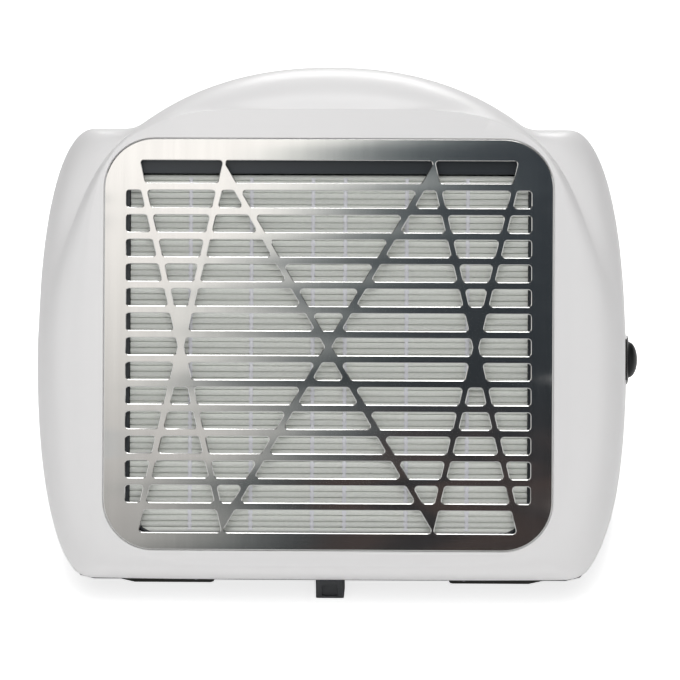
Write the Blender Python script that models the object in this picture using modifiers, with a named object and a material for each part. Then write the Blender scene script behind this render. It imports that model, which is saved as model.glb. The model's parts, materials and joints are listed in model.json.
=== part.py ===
"""Desktop nail dust collector: a barrel-sided white housing with an arched crown, leaning back on
rubber feet, with a laser-cut stainless grille held by magnets over a pleated filter, an axial fan
behind it and a push button in the right-hand wall. Metres, +Z up, the grille faces -Y."""

import math

import bmesh
import bpy
import numpy as np
from mathutils import Vector

# Clearances and rounding shared by all pieces
GAP = 0.0003
OVERRUN = 0.004
ROUND_STEPS = 24
CORNER_SHARE = 0.49

# Lean of the face from upright
FACE_LEAN = math.radians(25)

# Slot field of the grille
ROW_COUNT = 13
SLOT_HEIGHT = 0.0079
BAR_HEIGHT = 0.0034
END_SLOT_HEIGHT = 0.01035
FIELD_HALF = 0.0931
FIELD_DROP = 0.0010
SLOT_CORNER = 0.00125
SLOT_CORNER_STEPS = 1
LEAST_SLOT = 0.0035
WEB_WIDTH = 0.0029
SIDE_CROSS_INSET = 0.0253
SIDE_CROSS_SPREAD = 0.0206
CROSS_OVERLAP = 0.0031

# Grille plate round the slot field
GRILLE_SIDE_MARGIN = 0.0101
GRILLE_END_MARGIN = 0.0089
GRILLE_CORNER = 0.023
GRILLE_THICK = 0.001
GRILLE_CLEARANCE = 0.0004

# Front of the housing round the grille, seen square to the face
FACE_SIDE = 0.0068
FACE_ABOVE = 0.0096
FACE_BELOW = 0.0066
CHEEK = 0.0326
CHEEK_ROUND = 0.0264
SHOULDER = 0.0054
CHIN = 0.0144
CROWN = 0.0339
WAIST_DROP = 0.006
BODY_BULGE = 2.2
FACE_BULGE = 5.4

# Depths of the housing behind the face
ROLL_DEPTH = 0.026
SHOULDER_STEP = 0.005
SHOULDER_INSET = 0.0004
SPLIT_DEPTH = 0.034
BAND_DEPTH = 0.042
BACK_DEPTH = 0.060
BACK_INSET = 0.026
BAND_SLANT_SHARE = 0.6
WALL = 0.0025
FACE_WALL = 0.0045
QUARTER_STEPS = 8
FLAT_STEPS = 3
ROLL_STEPS = 4
BACK_STEPS = 3

# Base and feet
BASE_EDGE_DEPTH = 0.022
BASE_EDGE_RISE = 0.0003
FOOT_HEIGHT = 0.0104
COVER_THICK = 0.0025
SOLE_THICK = 0.0026
SOLE_WIDTH = 0.044
SOLE_DEPTH = 0.018
SOLE_INSET = 0.0267
SOLE_SETBACK = 0.0178
SOLE_TAPER = 0.007
SOLE_CORNER = 0.002
PEDESTAL_MARGIN = 0.0015
REAR_SOLE_INSET = 0.012
CENTRE_FOOT_WIDTH = 0.0130
CENTRE_FOOT_DEPTH = 0.012
CENTRE_FOOT_SETBACK = 0.002
CENTRE_FOOT_CORNER = 0.0008
CENTRE_RECESS_WIDTH = 0.0074
CENTRE_RECESS_HEIGHT = 0.0056
CENTRE_RECESS_DEPTH = 0.0012
CENTRE_RECESS_RISE = 0.0013

# Well behind the grille and its tray
WELL_SIDE_LEDGE = 0.0077
WELL_END_LEDGE = 0.0054
WELL_CORNER = 0.020
TRAY_WALL = 0.0020
TRAY_FLANGE = 0.0040
TRAY_FLANGE_THICK = 0.0020
TRAY_DEPTH = 0.0265
TRAY_FLOOR = 0.0025
MAGNET_RADIUS = 0.003
MAGNET_THICK = 0.002
MAGNET_INSET = 0.027

# Filter cartridge
FILTER_CLEARANCE = 0.0006
FILTER_SETBACK = 0.003
FILTER_FRAME_DEPTH = 0.021
FILTER_SIDE_BAR = 0.0032
FILTER_TOP_BAR = 0.0099
FILTER_BOTTOM_BAR = 0.0020
FILTER_TOP_CORNER = 0.006
PLEAT_PITCH = 0.00276
PLEAT_INSET = 0.0022
PLEAT_DEPTH = 0.0140
PLEAT_CREST_SHARE = 0.3
PAPER_THICK = 0.0004
GASKET_THICK = 0.0018
GASKET_WIDTH = 0.006

# Axial fan
FAN_DEPTH = 0.038
FAN_CORNER = 0.006
FAN_FLANGE = 0.004
FAN_DUCT_RADIUS = 0.058
FAN_DUCT_WALL = 0.0016
FAN_RIM = 0.002
FAN_HOLE_INSET = 0.0075
FAN_HOLE_RADIUS = 0.00215
FAN_TIP_CLEARANCE = 0.0015
ROTOR_HUB_RADIUS = 0.020
ROTOR_HUB_WALL = 0.0025
ROTOR_HUB_ROUND = 0.003
HUB_ROUND_SHARE = 0.3
ROTOR_SETBACK = 0.0025
ROTOR_DEPTH = 0.027
BLADE_COUNT = 7
BLADE_ROOT_PITCH = math.radians(52)
BLADE_TIP_PITCH = math.radians(30)
BLADE_ROOT_CHORD = 0.022
BLADE_TIP_CHORD = 0.040
BLADE_SWEEP = math.radians(14)
BLADE_CAMBER = 0.0022
BLADE_THICK = 0.0016
BLADE_ROOT_SINK = 0.0012
BLADE_STEPS = 3
STATOR_PLATE = 0.004
STRUT_COUNT = 4
STRUT_WIDTH = 0.005
BEARING_TUBE_RADIUS = 0.0068
BEARING_RADIUS = 0.0048
BEARING_THICK = 0.004
BEARING_BORE = 0.0018
SHAFT_RADIUS = 0.0015
STATOR_RADIUS = 0.0160
STATOR_DEPTH = 0.014
STATOR_SLOT = 0.0022
STATOR_TEETH = 8
TOOTH_HEAD_SHARE = 0.4
TOOTH_NECK_SHARE = 0.22

# Push button in the right-hand wall
BUTTON_DEPTH = 0.060
BUTTON_FLANGE_RADIUS = 0.0115
BUTTON_FLANGE_EDGE = 0.0003
BUTTON_COLLAR_RISE = 0.0012
BUTTON_CAP_RADIUS = 0.0083
BUTTON_CAP_RISE = 0.0053
BUTTON_CAP_SINK = 0.005
BUTTON_BARREL_WALL = 0.0010
BUTTON_BARREL_DEPTH = 0.012
BUTTON_STEM_RADIUS = 0.0022
BUTTON_STEM_DEPTH = 0.009
SWITCH_DEPTH = 0.016
SWITCH_RADIUS = 0.0088
SWITCH_BORE_DEPTH = 0.007
NUT_THICK = 0.003
NUT_REACH = 0.0030
NUT_SINK = 0.0004

# Outlet vents and power socket in the back
VENT_RADIUS = 0.056
VENT_PITCH = 0.0118
VENT_SLOT = 0.0050
VENT_RIB = 0.005
VENT_RIB_SPAN = 0.019
VENT_HEIGHT = 0.112
VENT_END_SHARE = 0.98
LEAST_VENT = 0.012
SOCKET_INSET = 0.0538
SOCKET_HEIGHT = 0.034
SOCKET_FLANGE_RADIUS = 0.0075
SOCKET_FLANGE_THICK = 0.0012
SOCKET_BODY_RADIUS = 0.0056
SOCKET_DEPTH = 0.014
SOCKET_BORE_RADIUS = 0.0032
SOCKET_BORE_DEPTH = 0.0095
SOCKET_PIN_RADIUS = 0.0010
SOCKET_PIN_SETBACK = 0.001

# Control board and fasteners
BOARD_WIDTH = 0.060
BOARD_DEPTH = 0.036
BOARD_THICK = 0.0016
BOARD_SIDE = 0.050
BOARD_BACK = 0.050
BOARD_POST_RADIUS = 0.003
BOARD_POST_HEIGHT = 0.005
BOARD_POST_INSET = 0.0045
CAPACITOR_RADIUS = 0.005
CAPACITOR_HEIGHT = 0.012
CONNECTOR_WIDTH = 0.012
CONNECTOR_DEPTH = 0.007
CONNECTOR_HEIGHT = 0.006
CHIP_SIDE = 0.009
CHIP_HEIGHT = 0.002
CONNECTOR_SHARE = 0.25
BOSS_RADIUS = 0.004
BOSS_WEB = 0.0024
BOSS_WEB_REACH = 0.014
SCREW_RADIUS = 0.0015
SCREW_HEAD_RADIUS = 0.0030
SCREW_HEAD_HEIGHT = 0.0018
COVER_SCREW_LENGTH = 0.0075
FAN_SCREW_RADIUS = 0.0018
FAN_SCREW_HEAD_RADIUS = 0.0036
FRONT_BOSS_INSET = 0.0412
FRONT_BOSS_SETBACK = 0.0060
FRONT_BOSS_HEIGHT = 0.0065
REAR_BOSS_INSET = 0.0103
REAR_BOSS_BACK = 0.036
REAR_BOSS_HEIGHT = 0.016
SCREW_TIP_SHARE = 0.6
HEAD_EDGE_SHARE = 0.4
HEAD_CROWN_SHARE = 0.75

# Sizes worked out from those above
ROW_PITCH = SLOT_HEIGHT + BAR_HEIGHT
FIELD_RISE = (ROW_COUNT * ROW_PITCH + BAR_HEIGHT) / 2 + END_SLOT_HEIGHT
SIDE_CROSS = FIELD_HALF - SIDE_CROSS_INSET
MIDDLE_CROSS_SPREAD = SIDE_CROSS - SIDE_CROSS_SPREAD + CROSS_OVERLAP
GRILLE_HALF = FIELD_HALF + GRILLE_SIDE_MARGIN
GRILLE_RISE = FIELD_RISE + GRILLE_END_MARGIN
FACE_HALF = GRILLE_HALF + FACE_SIDE
BODY_HALF = GRILLE_HALF + CHEEK
FACE_UP = GRILLE_RISE + FACE_ABOVE + WAIST_DROP
FACE_DOWN = GRILLE_RISE + FACE_BELOW - WAIST_DROP
SHOULDER_UP = GRILLE_RISE + SHOULDER + WAIST_DROP
CROWN_UP = GRILLE_RISE + CROWN + WAIST_DROP
CHIN_DOWN = GRILLE_RISE + CHIN - WAIST_DROP
CROWN_TOP = CROWN_UP - WAIST_DROP
LEAN_SIN = math.sin(FACE_LEAN)
LEAN_COS = math.cos(FACE_LEAN)
LEAN_TAN = math.tan(FACE_LEAN)
RECESS_DEPTH = GRILLE_THICK + GAP
WELL_HALF = GRILLE_HALF - WELL_SIDE_LEDGE
WELL_RISE = GRILLE_RISE - WELL_END_LEDGE
MAGNET_SPAN = WELL_RISE - MAGNET_INSET
TRAY_TOP = FACE_WALL + GAP
TRAY_BOTTOM = TRAY_DEPTH + TRAY_FLOOR
FAN_SIDE = 2 * (FAN_DUCT_RADIUS + FAN_RIM)
FAN_HOLE_PITCH = FAN_SIDE - 2 * FAN_HOLE_INSET
FAN_TOP = TRAY_BOTTOM + GAP
FAN_BOTTOM = FAN_TOP + FAN_DEPTH
BACK_Y = CROWN_TOP * LEAN_SIN + BACK_DEPTH * LEAN_COS
BASE_EDGE_FALL = CHIN_DOWN + WAIST_DROP - BASE_EDGE_RISE
BASE_EDGE_Y = BASE_EDGE_DEPTH * LEAN_COS - BASE_EDGE_FALL * LEAN_SIN
FACE_Z = FOOT_HEIGHT + BASE_EDGE_FALL * LEAN_COS + BASE_EDGE_DEPTH * LEAN_SIN
COVER_TOP = FOOT_HEIGHT + COVER_THICK
SOLE_HALF_SPAN = GRILLE_HALF - SOLE_INSET
FRONT_BOSS_SIDE = GRILLE_HALF - FRONT_BOSS_INSET
REAR_BOSS_SIDE = BODY_HALF - REAR_BOSS_INSET
SOCKET_SIDE = BODY_HALF - SOCKET_INSET
BUTTON_BORE = BUTTON_CAP_RADIUS + GAP
BUTTON_BARREL_RADIUS = BUTTON_BORE + BUTTON_BARREL_WALL
REACH = BODY_HALF + BACK_DEPTH + BACK_Y


def clear_scene():
    for leftover in list(bpy.data.objects):
        bpy.data.objects.remove(leftover, do_unlink=True)


def make_collection(name):
    collection = bpy.data.collections.new(name)
    bpy.context.scene.collection.children.link(collection)
    return collection


def make_material(name, colour, roughness, metallic=0.0):
    material = bpy.data.materials.new(name)
    material.use_nodes = True
    shader = material.node_tree.nodes["Principled BSDF"]
    shader.inputs["Base Color"].default_value = (*colour, 1.0)
    shader.inputs["Roughness"].default_value = roughness
    shader.inputs["Metallic"].default_value = metallic
    return material


clear_scene()
PARTS = make_collection("nail_dust_collector")
CUTTERS = make_collection("cutters")

GLOSS_WHITE = ("gloss_white_abs", (0.86, 0.86, 0.88), 0.22)
STAINLESS = ("brushed_stainless", (0.62, 0.61, 0.60), 0.28, 1.0)
PAPER = ("filter_paper", (0.80, 0.82, 0.80), 0.90)
SLATE = ("slate_plastic", (0.05, 0.06, 0.07), 0.55)
FOAM = ("foam_gasket", (0.03, 0.03, 0.03), 0.95)
RUBBER = ("black_rubber", (0.03, 0.03, 0.03), 0.80)
BLACK = ("black_abs", (0.02, 0.02, 0.022), 0.40)
CHARCOAL = ("charcoal_abs", (0.07, 0.07, 0.075), 0.50)
STEEL = ("zinc_steel", (0.60, 0.60, 0.62), 0.35, 1.0)
NICKEL = ("nickel_magnet", (0.70, 0.69, 0.66), 0.25, 1.0)
WINDING = ("copper_winding", (0.60, 0.28, 0.14), 0.40, 1.0)
BOARD_GREEN = ("board_laminate", (0.03, 0.16, 0.08), 0.45)


def empty(name, place, turn):
    """A frame that pieces hang from."""
    frame = bpy.data.objects.new(name, None)
    frame.location = place
    frame.rotation_euler = turn
    PARTS.objects.link(frame)
    return frame


def settle(piece, frame, finish):
    """Hangs a piece on its frame as a part, or as a hidden cutter where it has no finish."""
    piece.parent = frame
    if finish is None:
        piece.hide_render = True
        piece.display_type = "WIRE"
        CUTTERS.objects.link(piece)
    else:
        piece.data.materials.clear()
        piece.data.materials.append(make_material(*finish))
        PARTS.objects.link(piece)
    return piece


def from_bmesh(name, shape, frame, finish=None):
    mesh = bpy.data.meshes.new(name)
    shape.to_mesh(mesh)
    shape.free()
    return settle(bpy.data.objects.new(name, mesh), frame, finish)


def boolean(piece, other, operation="DIFFERENCE"):
    modifier = piece.modifiers.new(f"{operation.lower()}_{other.name}", "BOOLEAN")
    modifier.operation = operation
    modifier.solver = "EXACT"
    modifier.object = other


def face_outwards(shape):
    """Turns every face outwards, also where a hole misleads the first guess."""
    bmesh.ops.recalc_face_normals(shape, faces=shape.faces)
    if shape.calc_volume(signed=True) < 0:
        bmesh.ops.reverse_faces(shape, faces=shape.faces)


def settled_shape(piece):
    """Applies a helper's Booleans, so that the pieces cut from it share one clean mesh."""
    graph = bpy.context.evaluated_depsgraph_get()
    mesh = bpy.data.meshes.new_from_object(piece.evaluated_get(graph))
    piece.modifiers.clear()
    piece.data = mesh
    shape = bmesh.new()
    shape.from_mesh(mesh)
    bmesh.ops.remove_doubles(shape, verts=shape.verts, dist=GAP / 100)
    bmesh.ops.triangulate(shape, faces=shape.faces)
    shape.to_mesh(mesh)
    shape.free()


def smooth(piece, angle=math.radians(32)):
    piece.data.shade_smooth()
    piece.data.set_sharp_from_angle(angle=angle)


def flat_solid(name, outlines, low, high, frame, finish=None):
    """A filled 2D curve between two heights of its frame; an outline inside another is a hole."""
    curve = bpy.data.curves.new(name, "CURVE")
    curve.dimensions = "2D"
    curve.fill_mode = "BOTH"
    curve.extrude = (high - low) / 2
    for outline in outlines:
        spline = curve.splines.new("POLY")
        spline.points.add(len(outline) - 1)
        for point, (x, y) in zip(spline.points, outline):
            point.co = (x, y, 0, 1)
        spline.use_cyclic_u = True
    drawn = bpy.data.objects.new(name, curve)
    bpy.context.scene.collection.objects.link(drawn)
    graph = bpy.context.evaluated_depsgraph_get()
    mesh = bpy.data.meshes.new_from_object(drawn.evaluated_get(graph))
    bpy.data.objects.remove(drawn, do_unlink=True)
    mesh.name = name
    shape = bmesh.new()
    shape.from_mesh(mesh)
    bmesh.ops.remove_doubles(shape, verts=shape.verts, dist=GAP / 100)
    bmesh.ops.translate(shape, verts=shape.verts, vec=(0, 0, (low + high) / 2))
    face_outwards(shape)
    shape.to_mesh(mesh)
    shape.free()
    return settle(bpy.data.objects.new(name, mesh), frame, finish)


def turned(name, profile, frame, finish=None, place=(0, 0, 0), turn=(0, 0, 0), steps=ROUND_STEPS):
    """A profile of (radius, height) points, down its outer side, turned round the piece's Z axis."""
    shape = bmesh.new()
    points = [shape.verts.new((radius, 0, height)) for radius, height in profile]
    for first, second in zip(points, points[1:]):
        shape.edges.new((first, second))
    if profile[0][0] > 0 and profile[-1][0] > 0:
        shape.edges.new((points[-1], points[0]))
    piece = from_bmesh(name, shape, frame, finish)
    piece.location = place
    piece.rotation_euler = turn
    screw = piece.modifiers.new("turn", "SCREW")
    screw.steps = steps
    screw.render_steps = steps
    screw.use_merge_vertices = True
    screw.merge_threshold = GAP / 10
    return piece


def box(name, low, high, frame, finish=None):
    shape = bmesh.new()
    bmesh.ops.create_cube(shape, size=1)
    size = [b - a for a, b in zip(low, high)]
    centre = [(a + b) / 2 for a, b in zip(low, high)]
    bmesh.ops.scale(shape, vec=size, verts=shape.verts)
    bmesh.ops.translate(shape, vec=centre, verts=shape.verts)
    return from_bmesh(name, shape, frame, finish)


def rounded(corners, radius, steps):
    """The polygon with each corner turned into an arc, as far as its sides leave room."""
    outline = []
    count = len(corners)
    radii = radius if isinstance(radius, list) else [radius] * count
    for index in range(count):
        before, corner, after = (Vector(corners[(index + k) % count]) for k in (-1, 0, 1))
        back, ahead = before - corner, after - corner
        half = back.angle(ahead) / 2
        reach = min(radii[index] / math.tan(half), CORNER_SHARE * min(back.length, ahead.length))
        bisector = (back.normalized() + ahead.normalized()).normalized()
        centre = corner + bisector * (reach / math.cos(half))
        start = corner + back.normalized() * reach - centre
        end = corner + ahead.normalized() * reach - centre
        sweep = start.angle_signed(end)
        for step in range(steps + 1):
            spin = -sweep * step / steps
            cosine, sine = math.cos(spin), math.sin(spin)
            outline.append(
                (centre.x + start.x * cosine - start.y * sine, centre.y + start.x * sine + start.y * cosine)
            )
    return outline


def rectangle(half_width, low, high, corner, steps=5, centre=0):
    corners = [
        (centre - half_width, low),
        (centre + half_width, low),
        (centre + half_width, high),
        (centre - half_width, high),
    ]
    return rounded(corners, corner, steps)


def circle(radius, centre=(0, 0), steps=ROUND_STEPS):
    angles = [math.tau * step / steps for step in range(steps)]
    return [(centre[0] + radius * math.cos(a), centre[1] + radius * math.sin(a)) for a in angles]


# Housing form


def quarter(core, reach, height):
    """A quarter of the outline, waist to top: a fuller-than-round curve beyond a flat core."""
    power = 2 / BODY_BULGE
    angles = [math.pi / 2 * step / QUARTER_STEPS for step in range(QUARTER_STEPS + 1)]
    curve = [
        (core + reach * max(math.cos(a), 0) ** power, height * max(math.sin(a), 0) ** power)
        for a in angles
    ]
    flat = [(core * (1 - step / FLAT_STEPS), height) for step in range(1, FLAT_STEPS + 1)]
    return curve + flat


def closed_outline(upper, lower):
    """Joins the right-hand quarters with their mirror images, anticlockwise from the waist."""
    left_upper = [(-x, y) for x, y in reversed(upper)]
    left_lower = [(-x, -y) for x, y in lower]
    right_lower = [(x, -y) for x, y in reversed(lower)]
    outline = []
    for point in upper + left_upper + left_lower + right_lower:
        if not outline or math.dist(point, outline[-1]) > GAP:
            outline.append(point)
    return outline[:-1] if math.dist(outline[0], outline[-1]) < GAP else outline


def arch_outline():
    crown = quarter(0, BODY_HALF, CROWN_UP)
    chin = quarter(BODY_HALF - CHEEK_ROUND, CHEEK_ROUND, CHIN_DOWN)
    return closed_outline(crown, chin)


def barrel_outline():
    core = BODY_HALF - CHEEK_ROUND
    reach = CHEEK_ROUND - SHOULDER_INSET
    return closed_outline(quarter(core, reach, SHOULDER_UP), quarter(core, reach, CHIN_DOWN - SHOULDER_INSET))


def face_radius(across, up):
    """How far the flat of the face reaches along a direction from the waist's middle."""
    rise = FACE_UP if up > 0 else FACE_DOWN
    total = (abs(across) / FACE_HALF) ** FACE_BULGE + (abs(up) / rise) ** FACE_BULGE
    return total ** (-1 / FACE_BULGE)


def section(outline, spread, inset, depth, slant):
    """One ring of the housing: spread runs from the face's flat to the outline, slant leans it."""
    ring = []
    for x, y in outline:
        full = math.hypot(x, y)
        across, up = x / full, y / full
        flat = face_radius(across, up)
        radius = flat + (full - flat) * spread - inset
        height = radius * up - WAIST_DROP
        ring.append(Vector((radius * across, height, -depth - slant * LEAN_TAN * (CROWN_TOP - height))))
    return ring


def housing_rings(outline, front, wall, back_step=0):
    """Rings from the face over the rolled edge, along the band and round to the upright back."""
    rings = []
    for step in range(ROLL_STEPS + 1):
        turn = math.pi / 2 * step / ROLL_STEPS
        depth = front + (ROLL_DEPTH - front) * (1 - math.cos(turn))
        rings.append(section(outline, math.sin(turn), wall, depth, 0))
    back_depth = BACK_DEPTH - back_step - wall / LEAN_COS
    for step in range(BACK_STEPS + 1):
        turn = math.pi / 2 * step / BACK_STEPS
        depth = BAND_DEPTH + (back_depth - BAND_DEPTH) * math.sin(turn)
        slant = BAND_SLANT_SHARE + (1 - BAND_SLANT_SHARE) * math.sin(turn)
        inset = wall + BACK_INSET * (1 - math.cos(turn))
        rings.append(section(outline, 1, inset, depth, slant))
    return rings


def loft(rings):
    shape = bmesh.new()
    made = [[shape.verts.new(point) for point in ring] for ring in rings]
    count = len(made[0])
    for first, second in zip(made, made[1:]):
        for index in range(count):
            following = (index + 1) % count
            shape.faces.new((first[index], first[following], second[following], second[index]))
    shape.faces.new(list(reversed(made[0])))
    shape.faces.new(made[-1])
    bmesh.ops.triangulate(shape, faces=shape.faces)
    face_outwards(shape)
    return shape


ARCH_RINGS = housing_rings(arch_outline(), 0, 0)
FRONT_Y = min(p.y * LEAN_SIN - p.z * LEAN_COS for ring in ARCH_RINGS for p in ring)
MIDDLE_X = -BUTTON_CAP_RISE / 2
MIDDLE_Y = -(FRONT_Y + BACK_Y) / 2

face = empty("face_frame", (MIDDLE_X, MIDDLE_Y, FACE_Z), (math.pi / 2 - FACE_LEAN, 0, 0))
stand = empty("stand_frame", (MIDDLE_X, MIDDLE_Y, 0), (0, 0, 0))
back = empty("back_frame", (MIDDLE_X, MIDDLE_Y + BACK_Y, 0), (math.pi / 2, 0, 0))

housing_form = from_bmesh("housing_form", loft(ARCH_RINGS), face)
barrel_form = from_bmesh(
    "barrel_form", loft(housing_rings(barrel_outline(), SHOULDER_STEP, 0, SHOULDER_INSET)), face
)
housing_room = from_bmesh("housing_room", loft(housing_rings(arch_outline(), FACE_WALL, WALL)), face)
barrel_room = from_bmesh(
    "barrel_room", loft(housing_rings(barrel_outline(), SHOULDER_STEP + WALL, WALL, SHOULDER_INSET)), face
)

FRONT_BOSS_Y = BASE_EDGE_Y + FRONT_BOSS_SETBACK
REAR_BOSS_Y = BACK_Y - REAR_BOSS_BACK
BOSS_PLACES = [
    (side * across, along, height)
    for side in (-1, 1)
    for across, along, height in (
        (FRONT_BOSS_SIDE, FRONT_BOSS_Y, FRONT_BOSS_HEIGHT),
        (REAR_BOSS_SIDE, REAR_BOSS_Y, REAR_BOSS_HEIGHT),
    )
]


def pin(name, radius, low, high, frame, place=(0, 0), finish=None, steps=ROUND_STEPS):
    """A plain round bar along its frame's Z."""
    profile = [(0, high), (radius, high), (radius, low), (0, low)]
    return turned(name, profile, frame, finish, (place[0], place[1], 0), steps=steps)


def leave_bosses(room):
    """Screw bosses are left standing in the room, the front ones webbed to the chin."""
    for index, (across, along, height) in enumerate(BOSS_PLACES):
        boss = pin(
            f"{room.name}_boss_{index}",
            BOSS_RADIUS,
            COVER_TOP - OVERRUN,
            COVER_TOP + height,
            stand,
            (across, along),
        )
        boolean(room, boss)
        if along > 0:
            continue
        web = box(
            f"{room.name}_web_{index}",
            (across - BOSS_WEB / 2, along - BOSS_WEB_REACH, COVER_TOP - OVERRUN),
            (across + BOSS_WEB / 2, along, COVER_TOP + height - BOSS_WEB / 2),
            stand,
        )
        boolean(room, web)


boolean(housing_form, barrel_form, "UNION")
settled_shape(housing_form)
boolean(housing_room, barrel_room, "UNION")
settled_shape(housing_room)
leave_bosses(housing_room)
settled_shape(housing_room)

below_shells = box("below_shells", (-REACH, -REACH, -REACH), (REACH, REACH, COVER_TOP + GAP), stand)
behind_split = box("behind_split", (-REACH, -REACH, -REACH), (REACH, REACH, -SPLIT_DEPTH), face)
before_split = box("before_split", (-REACH, -REACH, -SPLIT_DEPTH - GAP), (REACH, REACH, REACH), face)


def shell(name):
    """The housing form with its room hollowed out and its underside cut level."""
    piece = settle(bpy.data.objects.new(name, housing_form.data.copy()), face, GLOSS_WHITE)
    boolean(piece, housing_room)
    boolean(piece, below_shells)
    smooth(piece)
    return piece


def screw_holes(piece, low, high):
    for index, (across, along, height) in enumerate(BOSS_PLACES):
        hole = pin(
            f"{piece.name}_hole_{index}", SCREW_RADIUS + GAP, low, high, stand, (across, along), steps=8
        )
        boolean(piece, hole)


# Front shell with the grille's recess, its ledge and the magnet pockets
recess = flat_solid(
    "grille_recess",
    [
        rectangle(
            GRILLE_HALF + GRILLE_CLEARANCE,
            -GRILLE_RISE - GRILLE_CLEARANCE,
            GRILLE_RISE + GRILLE_CLEARANCE,
            GRILLE_CORNER + GRILLE_CLEARANCE,
            8,
        )
    ],
    -RECESS_DEPTH,
    OVERRUN,
    face,
)
well = flat_solid(
    "filter_well",
    [rectangle(WELL_HALF, -WELL_RISE, WELL_RISE, WELL_CORNER)],
    -FACE_WALL - OVERRUN,
    OVERRUN,
    face,
)
MAGNET_PLACES = [
    (across * (WELL_HALF + WELL_SIDE_LEDGE / 2), up * MAGNET_SPAN) for across in (-1, 1) for up in (-1, 1)
]
front_shell = shell("front_shell")
boolean(front_shell, behind_split)
boolean(front_shell, recess)
boolean(front_shell, well)
for number, place in enumerate(MAGNET_PLACES):
    pocket = pin(
        f"magnet_pocket_{number}",
        MAGNET_RADIUS + GAP,
        -RECESS_DEPTH - MAGNET_THICK - GAP,
        0,
        face,
        place,
        steps=16,
    )
    boolean(front_shell, pocket)
screw_holes(front_shell, COVER_TOP - OVERRUN, FOOT_HEIGHT + COVER_SCREW_LENGTH + GAP)


# Rear shell with the outlet vents, the button's hole and the socket's hole


def vent_slot(low_x, high_x, middle):
    half = VENT_SLOT / 2
    return rounded(
        [(low_x, middle - half), (high_x, middle - half), (high_x, middle + half), (low_x, middle + half)],
        half * VENT_END_SHARE,
        2,
    )


def vent_slots():
    """Rows of slots that fill a circle, broken by two upright ribs."""
    rows = int(VENT_RADIUS / VENT_PITCH)
    slots = []
    for row in range(-rows, rows + 1):
        height = row * VENT_PITCH
        half = math.sqrt(VENT_RADIUS**2 - height**2)
        inner = VENT_RIB_SPAN - VENT_RIB / 2
        outer = VENT_RIB_SPAN + VENT_RIB / 2
        slots.append(vent_slot(-min(inner, half), min(inner, half), VENT_HEIGHT + height))
        if half - outer > LEAST_VENT:
            slots.append(vent_slot(outer, half, VENT_HEIGHT + height))
            slots.append(vent_slot(-half, -outer, VENT_HEIGHT + height))
    return slots


BUTTON_PLACE = (BODY_HALF, -WAIST_DROP, -BUTTON_DEPTH)
TO_RIGHT = (0, math.pi / 2, 0)
TO_BACK = (-math.pi / 2, 0, 0)
SOCKET_PLACE = (SOCKET_SIDE, BACK_Y, SOCKET_HEIGHT)

BUTTON_HOLE = BUTTON_BARREL_RADIUS + GAP
NUT_SEAT = BUTTON_BARREL_RADIUS + NUT_REACH + GAP
SOCKET_HOLE = SOCKET_BODY_RADIUS + GAP


def wall_hole(name, radius, seat, frame, place, turn):
    """A round cutter through a wall, widened to a flat seat for a nut on the inside."""
    level = -WALL + NUT_SINK
    profile = [(0, OVERRUN), (radius, OVERRUN), (radius, level), (seat, level)]
    profile += [(seat, -WALL - OVERRUN), (0, -WALL - OVERRUN)]
    return turned(name, profile, frame, place=place, turn=turn)


vents = flat_solid("vent_slots", vent_slots(), -OVERRUN, WALL + OVERRUN, back)
rear_shell = shell("rear_shell")
boolean(rear_shell, before_split)
boolean(rear_shell, vents)
boolean(rear_shell, wall_hole("button_hole", BUTTON_HOLE, NUT_SEAT, face, BUTTON_PLACE, TO_RIGHT))
boolean(rear_shell, wall_hole("socket_hole", SOCKET_HOLE, SOCKET_HOLE + GAP, stand, SOCKET_PLACE, TO_BACK))
screw_holes(rear_shell, COVER_TOP - OVERRUN, FOOT_HEIGHT + COVER_SCREW_LENGTH + GAP)


# Base cover with foot pedestals and board posts


def sole_outline(side, margin, middle_y):
    """A foot sole: square at its inner end, drawn in at its outer end."""
    inner = SOLE_HALF_SPAN - SOLE_WIDTH / 2 + margin
    outer = SOLE_HALF_SPAN + SOLE_WIDTH / 2 - margin
    low = middle_y - SOLE_DEPTH / 2 + margin
    high = middle_y + SOLE_DEPTH / 2 - margin
    corners = [
        (inner, low),
        (outer - SOLE_TAPER, low),
        (outer, low + SOLE_TAPER / 2),
        (outer, high - SOLE_TAPER / 2),
        (outer - SOLE_TAPER, high),
        (inner, high),
    ]
    placed = [(side * x, y) for x, y in corners]
    return rounded(placed if side > 0 else placed[::-1], SOLE_CORNER, 1)


FRONT_SOLE_Y = BASE_EDGE_Y + SOLE_SETBACK + SOLE_DEPTH / 2
REAR_SOLE_Y = BACK_Y - REAR_SOLE_INSET - SOLE_DEPTH / 2
BOARD_PLACE = (-BOARD_SIDE, BACK_Y - BOARD_BACK)
BOARD_LOW = COVER_TOP + BOARD_POST_HEIGHT + GAP

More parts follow.
